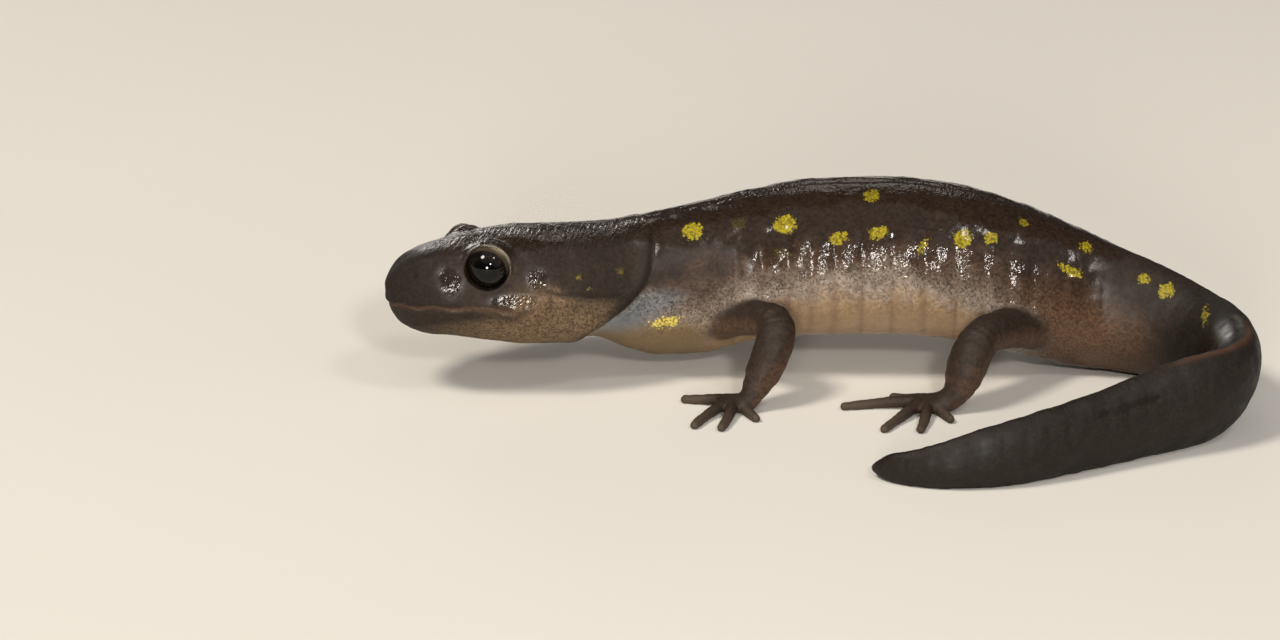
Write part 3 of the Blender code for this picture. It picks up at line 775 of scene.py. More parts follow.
class Skin:
    """Where every vertex of the skin lies on the animal."""

    def __init__(self, points, out):
        self.points, self.out = points, out
        self.distance, self.across = beside_line(points[:, 0], points[:, 1])
        self.at = at = np.clip(self.distance, 0.0, BODY_LENGTH)
        self.side, self.above = upright(at, self.across, points[:, 2])
        self.height = self.above + SECTION[2](at)
        top, bottom = SECTION[1](at), SECTION[3](at)
        self.share = np.clip((self.height - bottom) / (top - bottom), 0.0, 1.0)
        self.body_gap = body_distance(self.distance, self.across, points[:, 2])
        self.leg_gap = np.full(len(points), 9.0)
        self.toe_gap = np.full(len(points), 9.0)
        self.knot = np.zeros(len(points))
        self.toe_knot = np.zeros(len(points))
        for leg, toes in LEGS:
            self.near(leg, "leg_gap", "knot", LEG_REACH)
            for toe in toes:
                self.near(toe, "toe_gap", "toe_knot", TOE_REACH)
        # 1 on a leg, on a digit and on the head, 0 elsewhere
        self.leg = ramp(0.35, -0.45, np.minimum(self.leg_gap, self.toe_gap) - self.body_gap)
        self.toe = ramp(0.10, -0.10, self.toe_gap - np.minimum(self.leg_gap, self.body_gap))
        self.past_collar = at - COLLAR(self.height)
        self.head = ramp(0.25, -0.12, self.past_collar)
        self.body = 1.0 - self.leg

    def near(self, tube, gap_name, knot_name, margin):
        """Keep the distance from a tube and its knot where it is the nearest one so far."""
        low, high = tube_box(tube, margin)
        inside = np.all((self.points > low) & (self.points < high), axis=1)
        if not inside.any():
            return
        found, knot = tube_distance(self.points[inside], tube)
        gap, knots = getattr(self, gap_name), getattr(self, knot_name)
        closer = found < gap[inside]
        gap[inside] = np.where(closer, found, gap[inside])
        knots[inside] = np.where(closer, knot, knots[inside])

    def patch(self, distance, long, height, high):
        """A soft patch on both sides of the body that is 1 in its middle."""
        return hump(distance, long, self.at) * hump(height, high, self.height)

    def behind_mouth(self, height, high, wide):
        """The upright crease just behind the corner of the mouth."""
        return (hump(8.40 + 0.12 * (self.height - 5.0), wide, self.at)
                * hump(height, high, self.height))


def waves(points, length, seed, count=14):
    """A smooth random field of about -1 to 1 with features of one size, in millimetres."""
    draw = np.random.RandomState(seed)
    ways = draw.normal(size=(count, 3))
    ways *= (2.0 * math.pi / length) / np.linalg.norm(ways, axis=1)[:, None]
    ways *= draw.uniform(0.7, 1.3, size=(count, 1))
    phases = draw.uniform(0.0, 2.0 * math.pi, count)
    return np.sin(points @ ways.T + phases).sum(axis=1) / math.sqrt(count / 2.0)


def gap_to_nearest(places, x):
    """Distance of x from the nearest of some places."""
    return np.abs(np.asarray(x)[:, None] - np.asarray(places)[None, :]).min(axis=1)


def rib_gap(skin):
    """Distance from the nearest groove between two ribs."""
    return gap_to_nearest(RIB_GROOVES, skin.at + RIB_BOW * (skin.share - 0.5) ** 2)


def nostril_gap(points):
    """Distance from the middle of the nearer nostril."""
    distance, side, height = NOSTRIL_PLACE
    return np.minimum(*(np.linalg.norm(points - place(distance, side * sign, height), axis=1)
                        for sign in (1, -1)))


def from_eyes(skin):
    """For each eye: its centre, its gaze, and every vertex's way and distance from the centre."""
    for eye, sign in zip(EYES, (1, -1)):
        offset = skin.points - eye
        size = np.maximum(np.linalg.norm(offset, axis=1), 1e-6)
        yield eye, gaze_of(sign), offset / size[:, None], size


def degrees_between(ways, axis):
    """The angle between each way and an axis."""
    return np.degrees(np.arccos(np.clip(ways @ axis, -1.0, 1.0)))


def lid_relief(skin):
    """The fold round each eye, outside the lids' edge: fuller above."""
    total = np.zeros(len(skin.points))
    for _, gaze, way, size in from_eyes(skin):
        near = (size < LID_FOLD_REACH) & (size > LID_DOME - LID_FOLD_DEPTH)
        # distance outwards from the lids' edge, over the lid and on over the head
        beyond = (np.radians(degrees_between(way, gaze) - LID_OPENING) * LID_DOME
                  + np.maximum(size - LID_DOME, 0.0))
        above = 0.2 + 0.8 * ramp(-0.3, 0.5, way[:, 2])
        total += np.where(near, profile(LID_PROFILE, beyond) * above, 0.0)
    return total


def lid_numbers(skin):
    """Where the bare skin of the lids lies, and a painted highlight on their upper and rear edge.
    """
    cover = np.zeros(len(skin.points))
    rim = np.zeros(len(skin.points))
    for eye, gaze, way, size in from_eyes(skin):
        upper = way @ lid_middle()
        bare = ramp(84.0, 76.0, degrees_between(way, gaze)) * ramp(1.75, 1.50, size)
        cover = np.maximum(cover, bare * ramp(-0.1, 0.6, upper))
        edge = hoop_distance(eye, gaze, LID_DOME, LID_OPENING, 0.0)(skin.points)
        # a painted highlight: a pale line along the lids' upper and rear edge
        rim = np.maximum(rim, hump(0.0, 0.16, edge) * ramp(0.45, 0.92, upper))
    return cover, rim


def relief(skin):
    """How far each vertex stands out from the smooth flesh: folds, grooves, lips, nostrils."""
    s, h, side, share = skin.at, skin.height, skin.side, skin.share
    total = np.zeros(len(s))

    # mouth: a sharp crease with a fuller upper lip
    total += (ramp(MOUTH_END + 0.5, MOUTH_END - 0.3, s)
              * profile(MOUTH_PROFILE, h - MOUTH_LINE(s)))
    corner = np.hypot(s - MOUTH_END - 0.3, h - 4.74)
    total += 0.05 * hump(0.45, 0.25, corner) * ramp(3.0, 4.0, np.abs(side))

    # nostrils: small pits with a raised rim
    total += profile(NOSTRIL_PROFILE, nostril_gap(skin.points))

    # jaw muscle behind the eye, and the groove under it that runs back to the collar
    total += window(s, *JAW_STRETCH) * profile(JAW_PROFILE, h - JAW_GROOVE(s))
    total += 0.05 * skin.patch(*JAW_MUSCLE)
    total += 0.08 * skin.patch(*MOUTH_CORNER) * ramp(2.0, 3.0, np.abs(side))
    total -= 0.055 * skin.behind_mouth(5.1, 0.7, 0.13) * skin.body
    total += 0.09 * skin.patch(*TEMPLE)
    total -= 0.05 * skin.patch(*TEMPLE_TROUGH)

    # collar: the skin of the head and throat overlaps the neck
    step = 0.05
    lean = (COLLAR(h + step) - COLLAR(h - step)) / (2 * step)
    gap = skin.past_collar / np.sqrt(1.0 + lean ** 2)
    deep = ramp(9.1, 8.0, h) * (0.45 + 0.55 * ramp(2.4, 3.4, h))
    total += deep * profile(COLLAR_PROFILE, gap)

    # ribs: an upright groove between each two, strongest on the flank
    trunk = window(s, *RIB_STRETCH) * window(share, 0.02, 0.22, 0.70, 0.90) * skin.body
    gap = rib_gap(skin)
    total += trunk * (-0.105 * hump(0.0, 0.21, gap) + 0.030 * ramp(0.3, 0.8, gap))
    inner = window(s, *BEND_STRETCH) * ramp(0.2, 0.8, side)
    tail = window(s, *TAIL_GROOVE_STRETCH) * window(share, 0.08, 0.3, 0.8, 0.98) * skin.body
    total -= 0.028 * tail * (1.0 - inner) * hump(0.0, 0.17, gap_to_nearest(TAIL_GROOVES, s))

    # a shallow groove down the middle of the back, and a thin keel on the tail
    upper = ramp(0.86, 0.97, share)
    total -= 0.05 * hump(0.0, 0.24, side) * upper * window(s, *BACK_GROOVE_STRETCH)
    total += 0.05 * hump(0.0, 0.16, side) * upper * ramp(44.0, 50.0, s)

    # faint puckers on the inside of the tail's bend
    total += 0.002 * inner * np.sin(2.0 * math.pi * s / 0.62)

    # loose skin at the elbows, knees, wrists and ankles, and joints along the digits
    limb = skin.leg * (1.0 - skin.toe)
    joint = limb * ramp(0.32, 0.05, np.abs(skin.knot - 1.02))
    total += 0.024 * joint * np.sin(2.0 * math.pi * skin.knot / 0.105 + 1.5 * skin.out[:, 2])
    wrist = limb * ramp(0.25, 0.05, np.abs(skin.knot - 2.0))
    total += 0.016 * wrist * np.sin(2.0 * math.pi * skin.knot / 0.12)
    total += 0.008 * skin.toe * np.sin(2.0 * math.pi * skin.toe_knot / 0.42)
    total -= 0.055 * skin.toe * ramp(3.2, 4.0, skin.toe_knot)

    total += lid_relief(skin)

    # the softness of living skin
    calm = 1.0 - 0.95 * inner
    total += 0.014 * waves(skin.points, 1.5, 3) * (1.0 - 0.6 * skin.toe) * calm
    total += 0.006 * waves(skin.points, 0.62, 4) * calm
    return total


def spot_gap(skin):
    """Distance in millimetres from the edge of the nearest yellow spot, and its strength."""
    gap = np.full(len(skin.points), NO_SPOT)
    strength = np.zeros(len(skin.points))
    for spots, sign in ((LEFT_SPOTS, 1), (RIGHT_SPOTS, -1)):
        for distance, side, height, along, around, turn, power in spots:
            centre = place(distance, side * sign, height)
            near = np.linalg.norm(skin.points - centre, axis=1) < SPOT_REACH
            if not near.any():
                continue
            nearest = np.linalg.norm(skin.points[near] - centre, axis=1).argmin()
            out = skin.out[near][nearest]
            _, ahead, _ = on_line(distance)
            u = np.array([ahead[0], ahead[1], 0.0])
            u -= out * (u @ out)
            u /= np.linalg.norm(u)
            v = np.cross(out, u) * sign
            angle = math.radians(turn)
            offset = skin.points[near] - skin.points[near][nearest]
            a = offset @ (u * math.cos(angle) + v * math.sin(angle))
            b = offset @ (v * math.cos(angle) - u * math.sin(angle))
            ring = np.sqrt((a / along) ** 2 + (b / around) ** 2)
            found = (ring - 1.0) * min(along, around)
            closer = found < gap[near]
            gap[near] = np.where(closer, found, gap[near])
            strength[near] = np.where(closer, power, strength[near])
    return gap, strength


def shading(skin):
    """Darkness, 1 on the back and 0 on the belly; the head's brown part; and its lower edge."""
    s = skin.at
    wander = 0.016 * waves(skin.points, 3.2, 11)
    floor = FADE_FLOOR(s)
    dark = floor + (1.0 - floor) * ramp(FADE_LOW(s), FADE_HIGH(s), skin.share + wander)
    # the head is dark above the mouth and above the groove behind it
    behind = ramp(5.8, 8.4, s)
    edge = MOUTH_LINE(s) * (1.0 - behind) + (JAW_GROOVE(s) + 0.05) * behind
    soft = 0.16 + 0.55 * hump(7.6, 1.5, s)
    brown = ramp(-1.0, 1.0, (skin.height - edge + 0.10 * waves(skin.points, 1.6, 12)) / soft)
    return dark * (1.0 - skin.head) + skin.head * brown, brown, edge


def collar_fold(skin):
    """1 in the fold where the skin of the head and throat overlaps the neck."""
    return (skin.head * hump(0.0, 0.55, skin.past_collar + 0.12)
            * ramp(8.8, 7.6, skin.height))


def head_tones(skin, brown, edge):
    """Where the head's colours and its painted shade lie, each from 0 to 1."""
    s, h = skin.at, skin.height
    throat = skin.head * (1.0 - brown)
    lip = ramp(6.0, 0.5, s) + 0.8 * hump(0.35, 0.45, edge - h) * ramp(8.0, 6.0, s)
    # painted shade along the jaw groove and in the crease behind the mouth
    groove = hump(0.06, 0.20, h - JAW_GROOVE(s)) * ramp(7.8, 9.0, s) * skin.head
    crease = 0.55 * skin.behind_mouth(5.2, 0.6, 0.12)
    # the neck's dark skin runs down a little way before the collar and under the jaw groove,
    # deepened there with painted shade
    shadow = skin.head * (ramp(-1.9, -0.4, skin.past_collar) * ramp(3.6, 5.2, h)
                          + 0.35 * ramp(8.6, 10.5, s) * ramp(4.0, 5.3, h))
    return {
        "throat": throat,
        "lip": throat * np.clip(lip, 0.0, 1.0),
        "snout": skin.head * brown * ramp(4.2, 1.2, s),
        "cheek": skin.head * skin.patch(*CHEEK),
        "shadow": np.clip(shadow, 0.0, 1.0),
        # painted shade in the collar fold, the jaw groove and the crease behind the mouth
        "fold": np.maximum(np.maximum(collar_fold(skin), groove), crease),
    }


def body_tones(skin):
    """Where the colours of the chest, the trunk and the tail lie, each from 0 to 1."""
    s, h, share = skin.at, skin.height, skin.share
    trunk = 1.0 - skin.head
    # painted shade: a thin darker line in each groove between the ribs, seen only on the pale
    # skin
    rib_lines = hump(0.0, 0.13, rib_gap(skin)) * window(share, 0.0, 0.12, 0.45, 0.70)
    return {
        "chest": trunk * ramp(4.0, 1.6, skin.past_collar) * window(h, 2.7, 3.9, 5.1, 6.1),
        # the tan of the low chest, darkened with painted shade under the body
        "breast": trunk * ramp(20.5, 17.5, s) * ramp(4.6, 3.0, h),
        "crease": rib_lines * window(s, *RIB_LINE_STRETCH),
        "hip": window(s, *HIP_STRETCH) * ramp(0.8, 0.35, share),
        "tail": ramp(42.0, 50.0, s),
        "keel": window(s, *KEEL_STRETCH) * hump(0.0, 0.20, skin.side) * ramp(0.90, 0.97, share),
    }


def stipple(skin, dark, throat):
    """How much of the ground the dark pigment cells take up, and how strong they are."""
    cover = 0.14 + 0.30 * ramp(0.0, 0.5, dark)
    dots = 0.26 + 0.34 * hump(0.48, 0.34, dark)
    cover = cover * (1.0 - throat) + throat * 0.42
    dots = dots * (1.0 - throat) + throat * 0.62
    return cover * skin.body + skin.leg * 0.38, dots * skin.body + skin.leg * 0.50


def film(skin):
    """How thick the film of mucus is, and how deep and how wrinkled the grain is under it."""
    s, h, share = skin.at, skin.height, skin.share
    # sparkle: where the grain stands out and breaks the light up into glints
    sparkle = window(share, 0.20, 0.36, 0.71, 0.79) * window(s, *FLANK_GLINTS)
    for patch in HEAD_GLINTS:
        sparkle = np.maximum(sparkle, skin.head * skin.patch(*patch))
    sparkle = np.clip(1.2 * sparkle, 0.0, 1.0)
    crown = skin.head * ramp(7.7, 8.3, h)
    nape = crown * ramp(5.5, 8.5, s)
    ridge = window(s, *RIDGE_GLINTS) * ramp(0.92, 0.985, share)
    rear = ramp(40.0, 44.0, s)
    low = ramp(0.45, 0.20, share) * (1.0 - skin.head)
    bend = window(s, *BEND_FILM) * ramp(0.0, 0.4, skin.side)
    depth = np.maximum((1.2 + 0.25 * skin.head) * sparkle, 0.30 + 0.8 * np.maximum(crown, ridge))
    depth = depth * (1.0 - 0.5 * np.maximum(low, rear)) * (1.0 - 0.97 * bend)

    # the film is thickest on the trunk and the crown, and thin on cheeks, shoulders and tail
    shoulder = (1.0 - skin.head) * ramp(22.5, 18.5, s) * ramp(0.98, 0.62, share)
    thin = np.maximum(0.56 * rear, 0.92 * skin.head * ramp(9.1, 7.3, h))
    thin = np.maximum(thin, np.maximum(0.8 * collar_fold(skin), 0.92 * shoulder))
    streak = window(s, *TAIL_FILM) * hump(0.80, 0.10, share)
    wet = np.maximum(0.84 * (1.0 - thin), sparkle)
    wet = np.maximum(np.maximum(wet, 0.60 * bend), 0.58 * streak)
    return {
        "wet": wet * skin.body + skin.leg * 0.34,
        "depth": depth * skin.body + 0.6 * skin.leg,
        "wrinkled": 0.45 + (2.4 * nape + 1.2 * crown + 0.9 * ridge) * skin.body,
        "grainy": 1.0 - 0.75 * low * skin.body,
    }


def tones(skin):
    """Every number that the skin's material reads, one for each vertex."""
    dark, brown, edge = shading(skin)
    numbers = {key: values * skin.body
               for key, values in (head_tones(skin, brown, edge) | body_tones(skin)).items()}
    numbers |= film(skin)
    lids, rim = lid_numbers(skin)
    numbers["wet"] = np.maximum(numbers["wet"], lids)
    numbers["darkness"] = np.clip(dark, 0.0, 1.0)
    numbers["cover"], numbers["dots"] = stipple(skin, dark, skin.head * (1.0 - brown))
    numbers["leg"] = skin.leg
    numbers["toe"] = skin.toe * ramp(0.6, 3.6, skin.toe_knot)
    numbers["underside"] = (skin.leg * (1.0 - ramp(-0.35, 0.55, skin.out[:, 2]))
                            * (1.0 - skin.toe))
    numbers["lid"], numbers["rim"] = lids, rim
    numbers["mouth"] = (hump(0.0, 0.08, skin.height - MOUTH_LINE(skin.at))
                        * ramp(MOUTH_END + 0.6, MOUTH_END, skin.at))
    # painted shade inside the nostrils
    numbers["nostril"] = hump(0.0, 0.17, nostril_gap(skin.points))
    numbers["spot_gap"], numbers["spot_strength"] = spot_gap(skin)
    return numbers


# ---------------------------------------------------------------------------
# Colours and materials.
# ---------------------------------------------------------------------------

def linear(colour):
    """An sRGB hex colour such as "#3a2e28" as linear numbers."""
    parts = [int(colour[k:k + 2], 16) / 255.0 for k in (1, 3, 5)]
    return tuple(c / 12.92 if c <= 0.04045 else ((c + 0.055) / 1.055) ** 2.4 for c in parts)


def node(tree, kind, inputs, output=0, **settings):
    """Add a shader node with its settings, link or set its inputs, and return one output."""
    made = tree.nodes.new("ShaderNode" + kind)
    for name, value in settings.items():
        setattr(made, name, value)
    for key, value in inputs.items():
        socket = made.inputs[key]
        if isinstance(value, bpy.types.NodeSocket):
            tree.links.new(value, socket)
        elif socket.type == "RGBA":
            socket.default_value = (*value[:3], 1.0)
        else:
            socket.default_value = value
    return made.outputs[output] if made.outputs else made


def new_material(name):
    """An empty node material and its tree."""
    material = bpy.data.materials.new(name)
    material.use_nodes = True
    material.node_tree.nodes.clear()
    return material, material.node_tree


# The ground between the pigment cells, from pale belly to dark back: darkness from, to, colour.
SHADES = ((0.02, 0.34, "flank_low"), (0.26, 0.56, "flank"), (0.48, 0.78, "flank_high"),
          (0.72, 0.98, "back"))
# Tones laid over that ground, each by the number of its name on the skin; two are darkened
# with painted shade, under the chest and before the collar.
GROUND_TONES = ("snout", "breast", "chest", "hip", "throat", "cheek", "lip", "shadow", "tail",
                "leg", "underside")
# Tones laid over the pigment cells, and how strong each may be; some are painted shade
# in grooves, folds and nostrils, and one a painted highlight on the lids' edge.
TOP_TONES = (("toe", 0.50), ("keel", 0.80), ("crease", 0.45), ("fold", 0.75), ("mouth", 0.70),
             ("nostril", 0.85), ("lid", 0.80), ("rim", 0.80))

# Sizes of the fine patterns.
STRAY_SIZE = 0.30           # the bends in the pattern of cells
CLOUD_SIZE = 0.9
RAG_SIZE = 0.28             # the ragged edge of a spot
SPECK_SIZE = 0.15           # the grains of yellow in a spot
WRINKLE_SIZE = 0.22
PIT_SIZE = 0.30
FLECK_SIZE = 0.13           # the gold flecks in the iris
RIPPLE_SIZE = 0.5           # the unevenness of the cornea
FLOOR_CLOUDS = 30.0         # clouds on the floor in each metre
WATER = 1.34                # refraction of the film of water and mucus, and of tears


def skin_material(looks, numbers):
    """Moist amphibian skin, finely stippled with dark pigment cells over a paler ground.

    Where the film of mucus is thick it is smooth and breaks the light into small sparks on
    the grain of the skin; elsewhere the skin is satin. Lengths are in millimetres.
    """
    material, tree = new_material("moist salamander skin")
    place_on = node(tree, "TexCoord", {}, "Object")
    where = node(tree, "VectorMath", {0: place_on, "Scale": 1.0 / MM}, operation="SCALE")
    read = {name: node(tree, "Attribute", {}, "Fac", attribute_name=name) for name in numbers}
    stray = node(tree, "TexNoise", {"Vector": where, "Scale": 1.0 / STRAY_SIZE, "Detail": 1.0},
                 "Color")
    stray = node(tree, "VectorMath", {0: stray, "Scale": 0.10}, operation="SCALE")
    bent = node(tree, "VectorMath", {0: where, 1: stray}, operation="ADD")

    # the ground, clouded so that no band of it is even
    clouds = node(tree, "TexNoise", {"Vector": where, "Scale": 1.0 / CLOUD_SIZE, "Detail": 3.0})
    clouds = node(tree, "Math", {0: clouds, 1: 0.40, 2: -0.20}, operation="MULTIPLY_ADD")
    darkness = node(tree, "Math", {0: read["darkness"], 1: clouds}, operation="ADD")
    ground = node(tree, "RGB", {})
    ground.default_value = (*looks["belly"], 1.0)
    for low, high, shade in SHADES:
        step = node(tree, "MapRange", {0: darkness, 1: low, 2: high},
                    interpolation_type="SMOOTHSTEP")
        ground = node(tree, "Mix", {0: step, 6: ground, 7: looks[shade]}, 2, data_type="RGBA")
    for tone in GROUND_TONES:
        ground = node(tree, "Mix", {0: read[tone], 6: ground, 7: looks[tone]}, 2,
                      data_type="RGBA")

    # pigment cells, denser higher up the flank
    cell = node(tree, "TexVoronoi", {"Vector": bent, "Scale": 1.0 / looks["pigment_gap"]})
    cover = node(tree, "Math", {0: clouds, 1: 0.8, 2: read["cover"]}, operation="MULTIPLY_ADD")
    inside = node(tree, "Math", {0: cover, 1: cell}, operation="SUBTRACT")
    dots = node(tree, "MapRange", {0: inside, 1: -0.12, 2: 0.14, 4: read["dots"]},
                interpolation_type="SMOOTHSTEP")
    colour = node(tree, "Mix", {0: dots, 6: ground, 7: looks["pigment"]}, 2, data_type="RGBA")

    # fine grain: each cell of the skin a little lighter or darker
    grain = node(tree, "TexVoronoi", {"Vector": bent, "Scale": 1.0 / looks["grain"]}, "Color")
    grain = node(tree, "SeparateColor", {0: grain})
    grain = node(tree, "MapRange", {0: grain, 1: 0.0, 2: 1.0, 3: -0.28, 4: 0.34})
    grain = node(tree, "Math", {0: grain, 1: read["grainy"], 2: 1.0}, operation="MULTIPLY_ADD")
    colour = node(tree, "HueSaturation", {"Value": grain, "Color": colour})

    for tone, strength in TOP_TONES:
        share = node(tree, "Math", {0: read[tone], 1: strength}, operation="MULTIPLY")
        colour = node(tree, "Mix", {0: share, 6: colour, 7: looks[tone]}, 2, data_type="RGBA")

    # yellow spots: grains of yellow pigment that thin out towards a ragged edge
    ragged = node(tree, "TexNoise", {"Vector": where, "Scale": 1.0 / RAG_SIZE, "Detail": 3.0,
                                     "Roughness": 0.7})
    gap = node(tree, "Math", {0: ragged, 1: 0.80, 2: read["spot_gap"]},
               operation="MULTIPLY_ADD")
    speck = node(tree, "TexVoronoi", {"Vector": bent, "Scale": 1.0 / SPECK_SIZE})
    edge = node(tree, "Math", {0: speck, 1: 0.16, 2: gap}, operation="MULTIPLY_ADD")
    inside = node(tree, "MapRange", {0: edge, 1: 0.51, 2: 0.41})
    inside = node(tree, "Math", {0: inside, 1: read["spot_strength"]}, operation="MULTIPLY",
                  use_clamp=True)
    speck = node(tree, "MapRange", {0: speck, 1: 0.30, 2: 0.80})
    bright = node(tree, "MapRange", {0: read["spot_strength"], 1: 1.0, 2: 1.2})
    yellow = node(tree, "Mix", {0: bright, 6: looks["spot"], 7: looks["spot_bright"]}, 2,
                  data_type="RGBA")
    yellow = node(tree, "Mix", {0: speck, 6: yellow, 7: looks["spot_dark"]}, 2,
                  data_type="RGBA")
    colour = node(tree, "Mix", {0: inside, 6: colour, 7: yellow}, 2, data_type="RGBA")

    # relief too fine for the mesh: soft grains, and wrinkles that run round the body
    flow = node(tree, "Attribute", {}, "Vector", attribute_name="flow")
    stretched = node(tree, "VectorMath", {0: flow, 1: (1.0, 0.22, 1.0)}, operation="MULTIPLY")
    wrinkle = node(tree, "TexNoise", {"Vector": stretched, "Scale": 1.0 / WRINKLE_SIZE,
                                      "Detail": 2.0})
    pits = node(tree, "TexNoise", {"Vector": where, "Scale": 1.0 / PIT_SIZE, "Detail": 2.0,
                                   "Roughness": 0.6})
    beads = node(tree, "TexVoronoi", {"Vector": bent, "Scale": 1.0 / looks["grain"]},
                 feature="SMOOTH_F1")
    height = node(tree, "Math", {0: wrinkle, 1: read["wrinkled"], 2: pits},
                  operation="MULTIPLY_ADD")
    height = node(tree, "Math", {0: beads, 1: -0.45, 2: height}, operation="MULTIPLY_ADD")
    height = node(tree, "Math", {0: height, 1: read["depth"]}, operation="MULTIPLY")
    relief_of = node(tree, "Bump", {"Strength": looks["relief"], "Distance": 0.04 * MM,
                                    "Height": height})

    wet = node(tree, "Math", {0: clouds, 1: 1.2, 2: read["wet"]}, operation="MULTIPLY_ADD")
    rough = node(tree, "MapRange", {0: wet, 1: 0.15, 2: 0.85, 3: looks["satin"],
                                    4: looks["wet"]}, interpolation_type="SMOOTHSTEP")
    shader = node(tree, "BsdfPrincipled", {
        "Base Color": colour, "Roughness": rough, "Normal": relief_of,
        "Metallic": 0.0, "IOR": WATER})
    node(tree, "OutputMaterial", {"Surface": shader})
    return material


def eye_material(looks, numbers):
    """A wet black eye: a clear, mirror-smooth cornea over a nearly black iris with gold flecks.

    The thin upper eyelid lies over its upper rear, edged by a pale crescent of painted highlight.
    """
    material, tree = new_material("wet cornea over a black iris")
    place_on = node(tree, "TexCoord", {}, "Object")
    where = node(tree, "VectorMath", {0: place_on, "Scale": 1.0 / MM}, operation="SCALE")
    read = {name: node(tree, "Attribute", {}, "Fac", attribute_name=name) for name in numbers}
    inner = node(tree, "MapRange", {0: read["ring"], 1: 0.50, 2: 0.58})
    outer = node(tree, "MapRange", {0: read["ring"], 1: 0.86, 2: 0.76})
    band = node(tree, "Math", {0: inner, 1: outer}, operation="MULTIPLY")
    streaks = node(tree, "TexNoise", {"Vector": where, "Scale": 1.0 / FLECK_SIZE, "Detail": 3.0,
                                      "Roughness": 0.6})
    gold = node(tree, "MapRange", {0: streaks, 1: 0.56, 2: 0.72})
    gold = node(tree, "Math", {0: gold, 1: band}, operation="MULTIPLY")
    # painted shade: the ball darkens towards its edge, where it goes under the lids
    edge = node(tree, "MapRange", {0: read["ring"], 1: 0.88, 2: 0.99})
    # the lid turns to a painted highlight along its upper rear edge
    over = node(tree, "Mix", {0: read["lid_bright"], 6: looks["lid"], 7: looks["rim"]}, 2,
                data_type="RGBA")
    colour = node(tree, "Mix", {0: band, 6: looks["pupil"], 7: looks["iris"]}, 2,
                  data_type="RGBA")
    colour = node(tree, "Mix", {0: gold, 6: colour, 7: looks["gold"]}, 2, data_type="RGBA")
    colour = node(tree, "Mix", {0: edge, 6: colour, 7: looks["socket"]}, 2, data_type="RGBA")
    colour = node(tree, "Mix", {0: read["lid"], 6: colour, 7: over}, 2, data_type="RGBA")
    ripple = node(tree, "TexNoise", {"Vector": where, "Scale": 1.0 / RIPPLE_SIZE, "Detail": 1.0})
    uneven = node(tree, "Bump", {"Strength": 0.05, "Distance": 0.02 * MM, "Height": ripple})
    rough = node(tree, "MapRange", {0: ripple, 1: 0.4, 2: 0.6, 3: 0.02, 4: 0.05})
    shader = node(tree, "BsdfPrincipled", {
        "Base Color": colour, "Roughness": rough, "Normal": uneven,
        "Metallic": 0.0, "IOR": WATER})
    node(tree, "OutputMaterial", {"Surface": shader})
    return material


def floor_material(colour):
    """Matt painted board with the faintest unevenness."""
    material, tree = new_material("matt painted board")
    place_on = node(tree, "TexCoord", {}, "Object")
    cloud = node(tree, "TexNoise", {"Vector": place_on, "Scale": FLOOR_CLOUDS, "Detail": 2.0})
    shade = node(tree, "Mix", {0: cloud, 6: colour, 7: [c * 0.96 for c in colour]}, 2,
                 data_type="RGBA")
    shader = node(tree, "BsdfPrincipled", {"Base Color": shade, "Roughness": 0.75,
                                           "Metallic": 0.0, "IOR": 1.45})
    node(tree, "OutputMaterial", {"Surface": shader})
    return material


# ---------------------------------------------------------------------------
# The settings that a user may change.
# ---------------------------------------------------------------------------

def colour_property(name, description, colour):
    """A colour setting whose default is an sRGB hex value."""
    return bpy.props.FloatVectorProperty(name=name, description=description, size=3,
                                         default=linear(colour), min=0.0, max=1.0,
                                         subtype="COLOR")


def size_property(name, description, default, low, high):
    """A length setting; the values given are in millimetres."""
    return bpy.props.FloatProperty(name=name, description=description, default=default * MM,
                                   min=low * MM, max=high * MM, precision=5, subtype="DISTANCE",
                                   unit="LENGTH")


def share_property(name, description, default):
    """A setting from 0 to 1."""
    return bpy.props.FloatProperty(name=name, description=description, default=default,
                                   min=0.0, max=1.0, subtype="FACTOR")


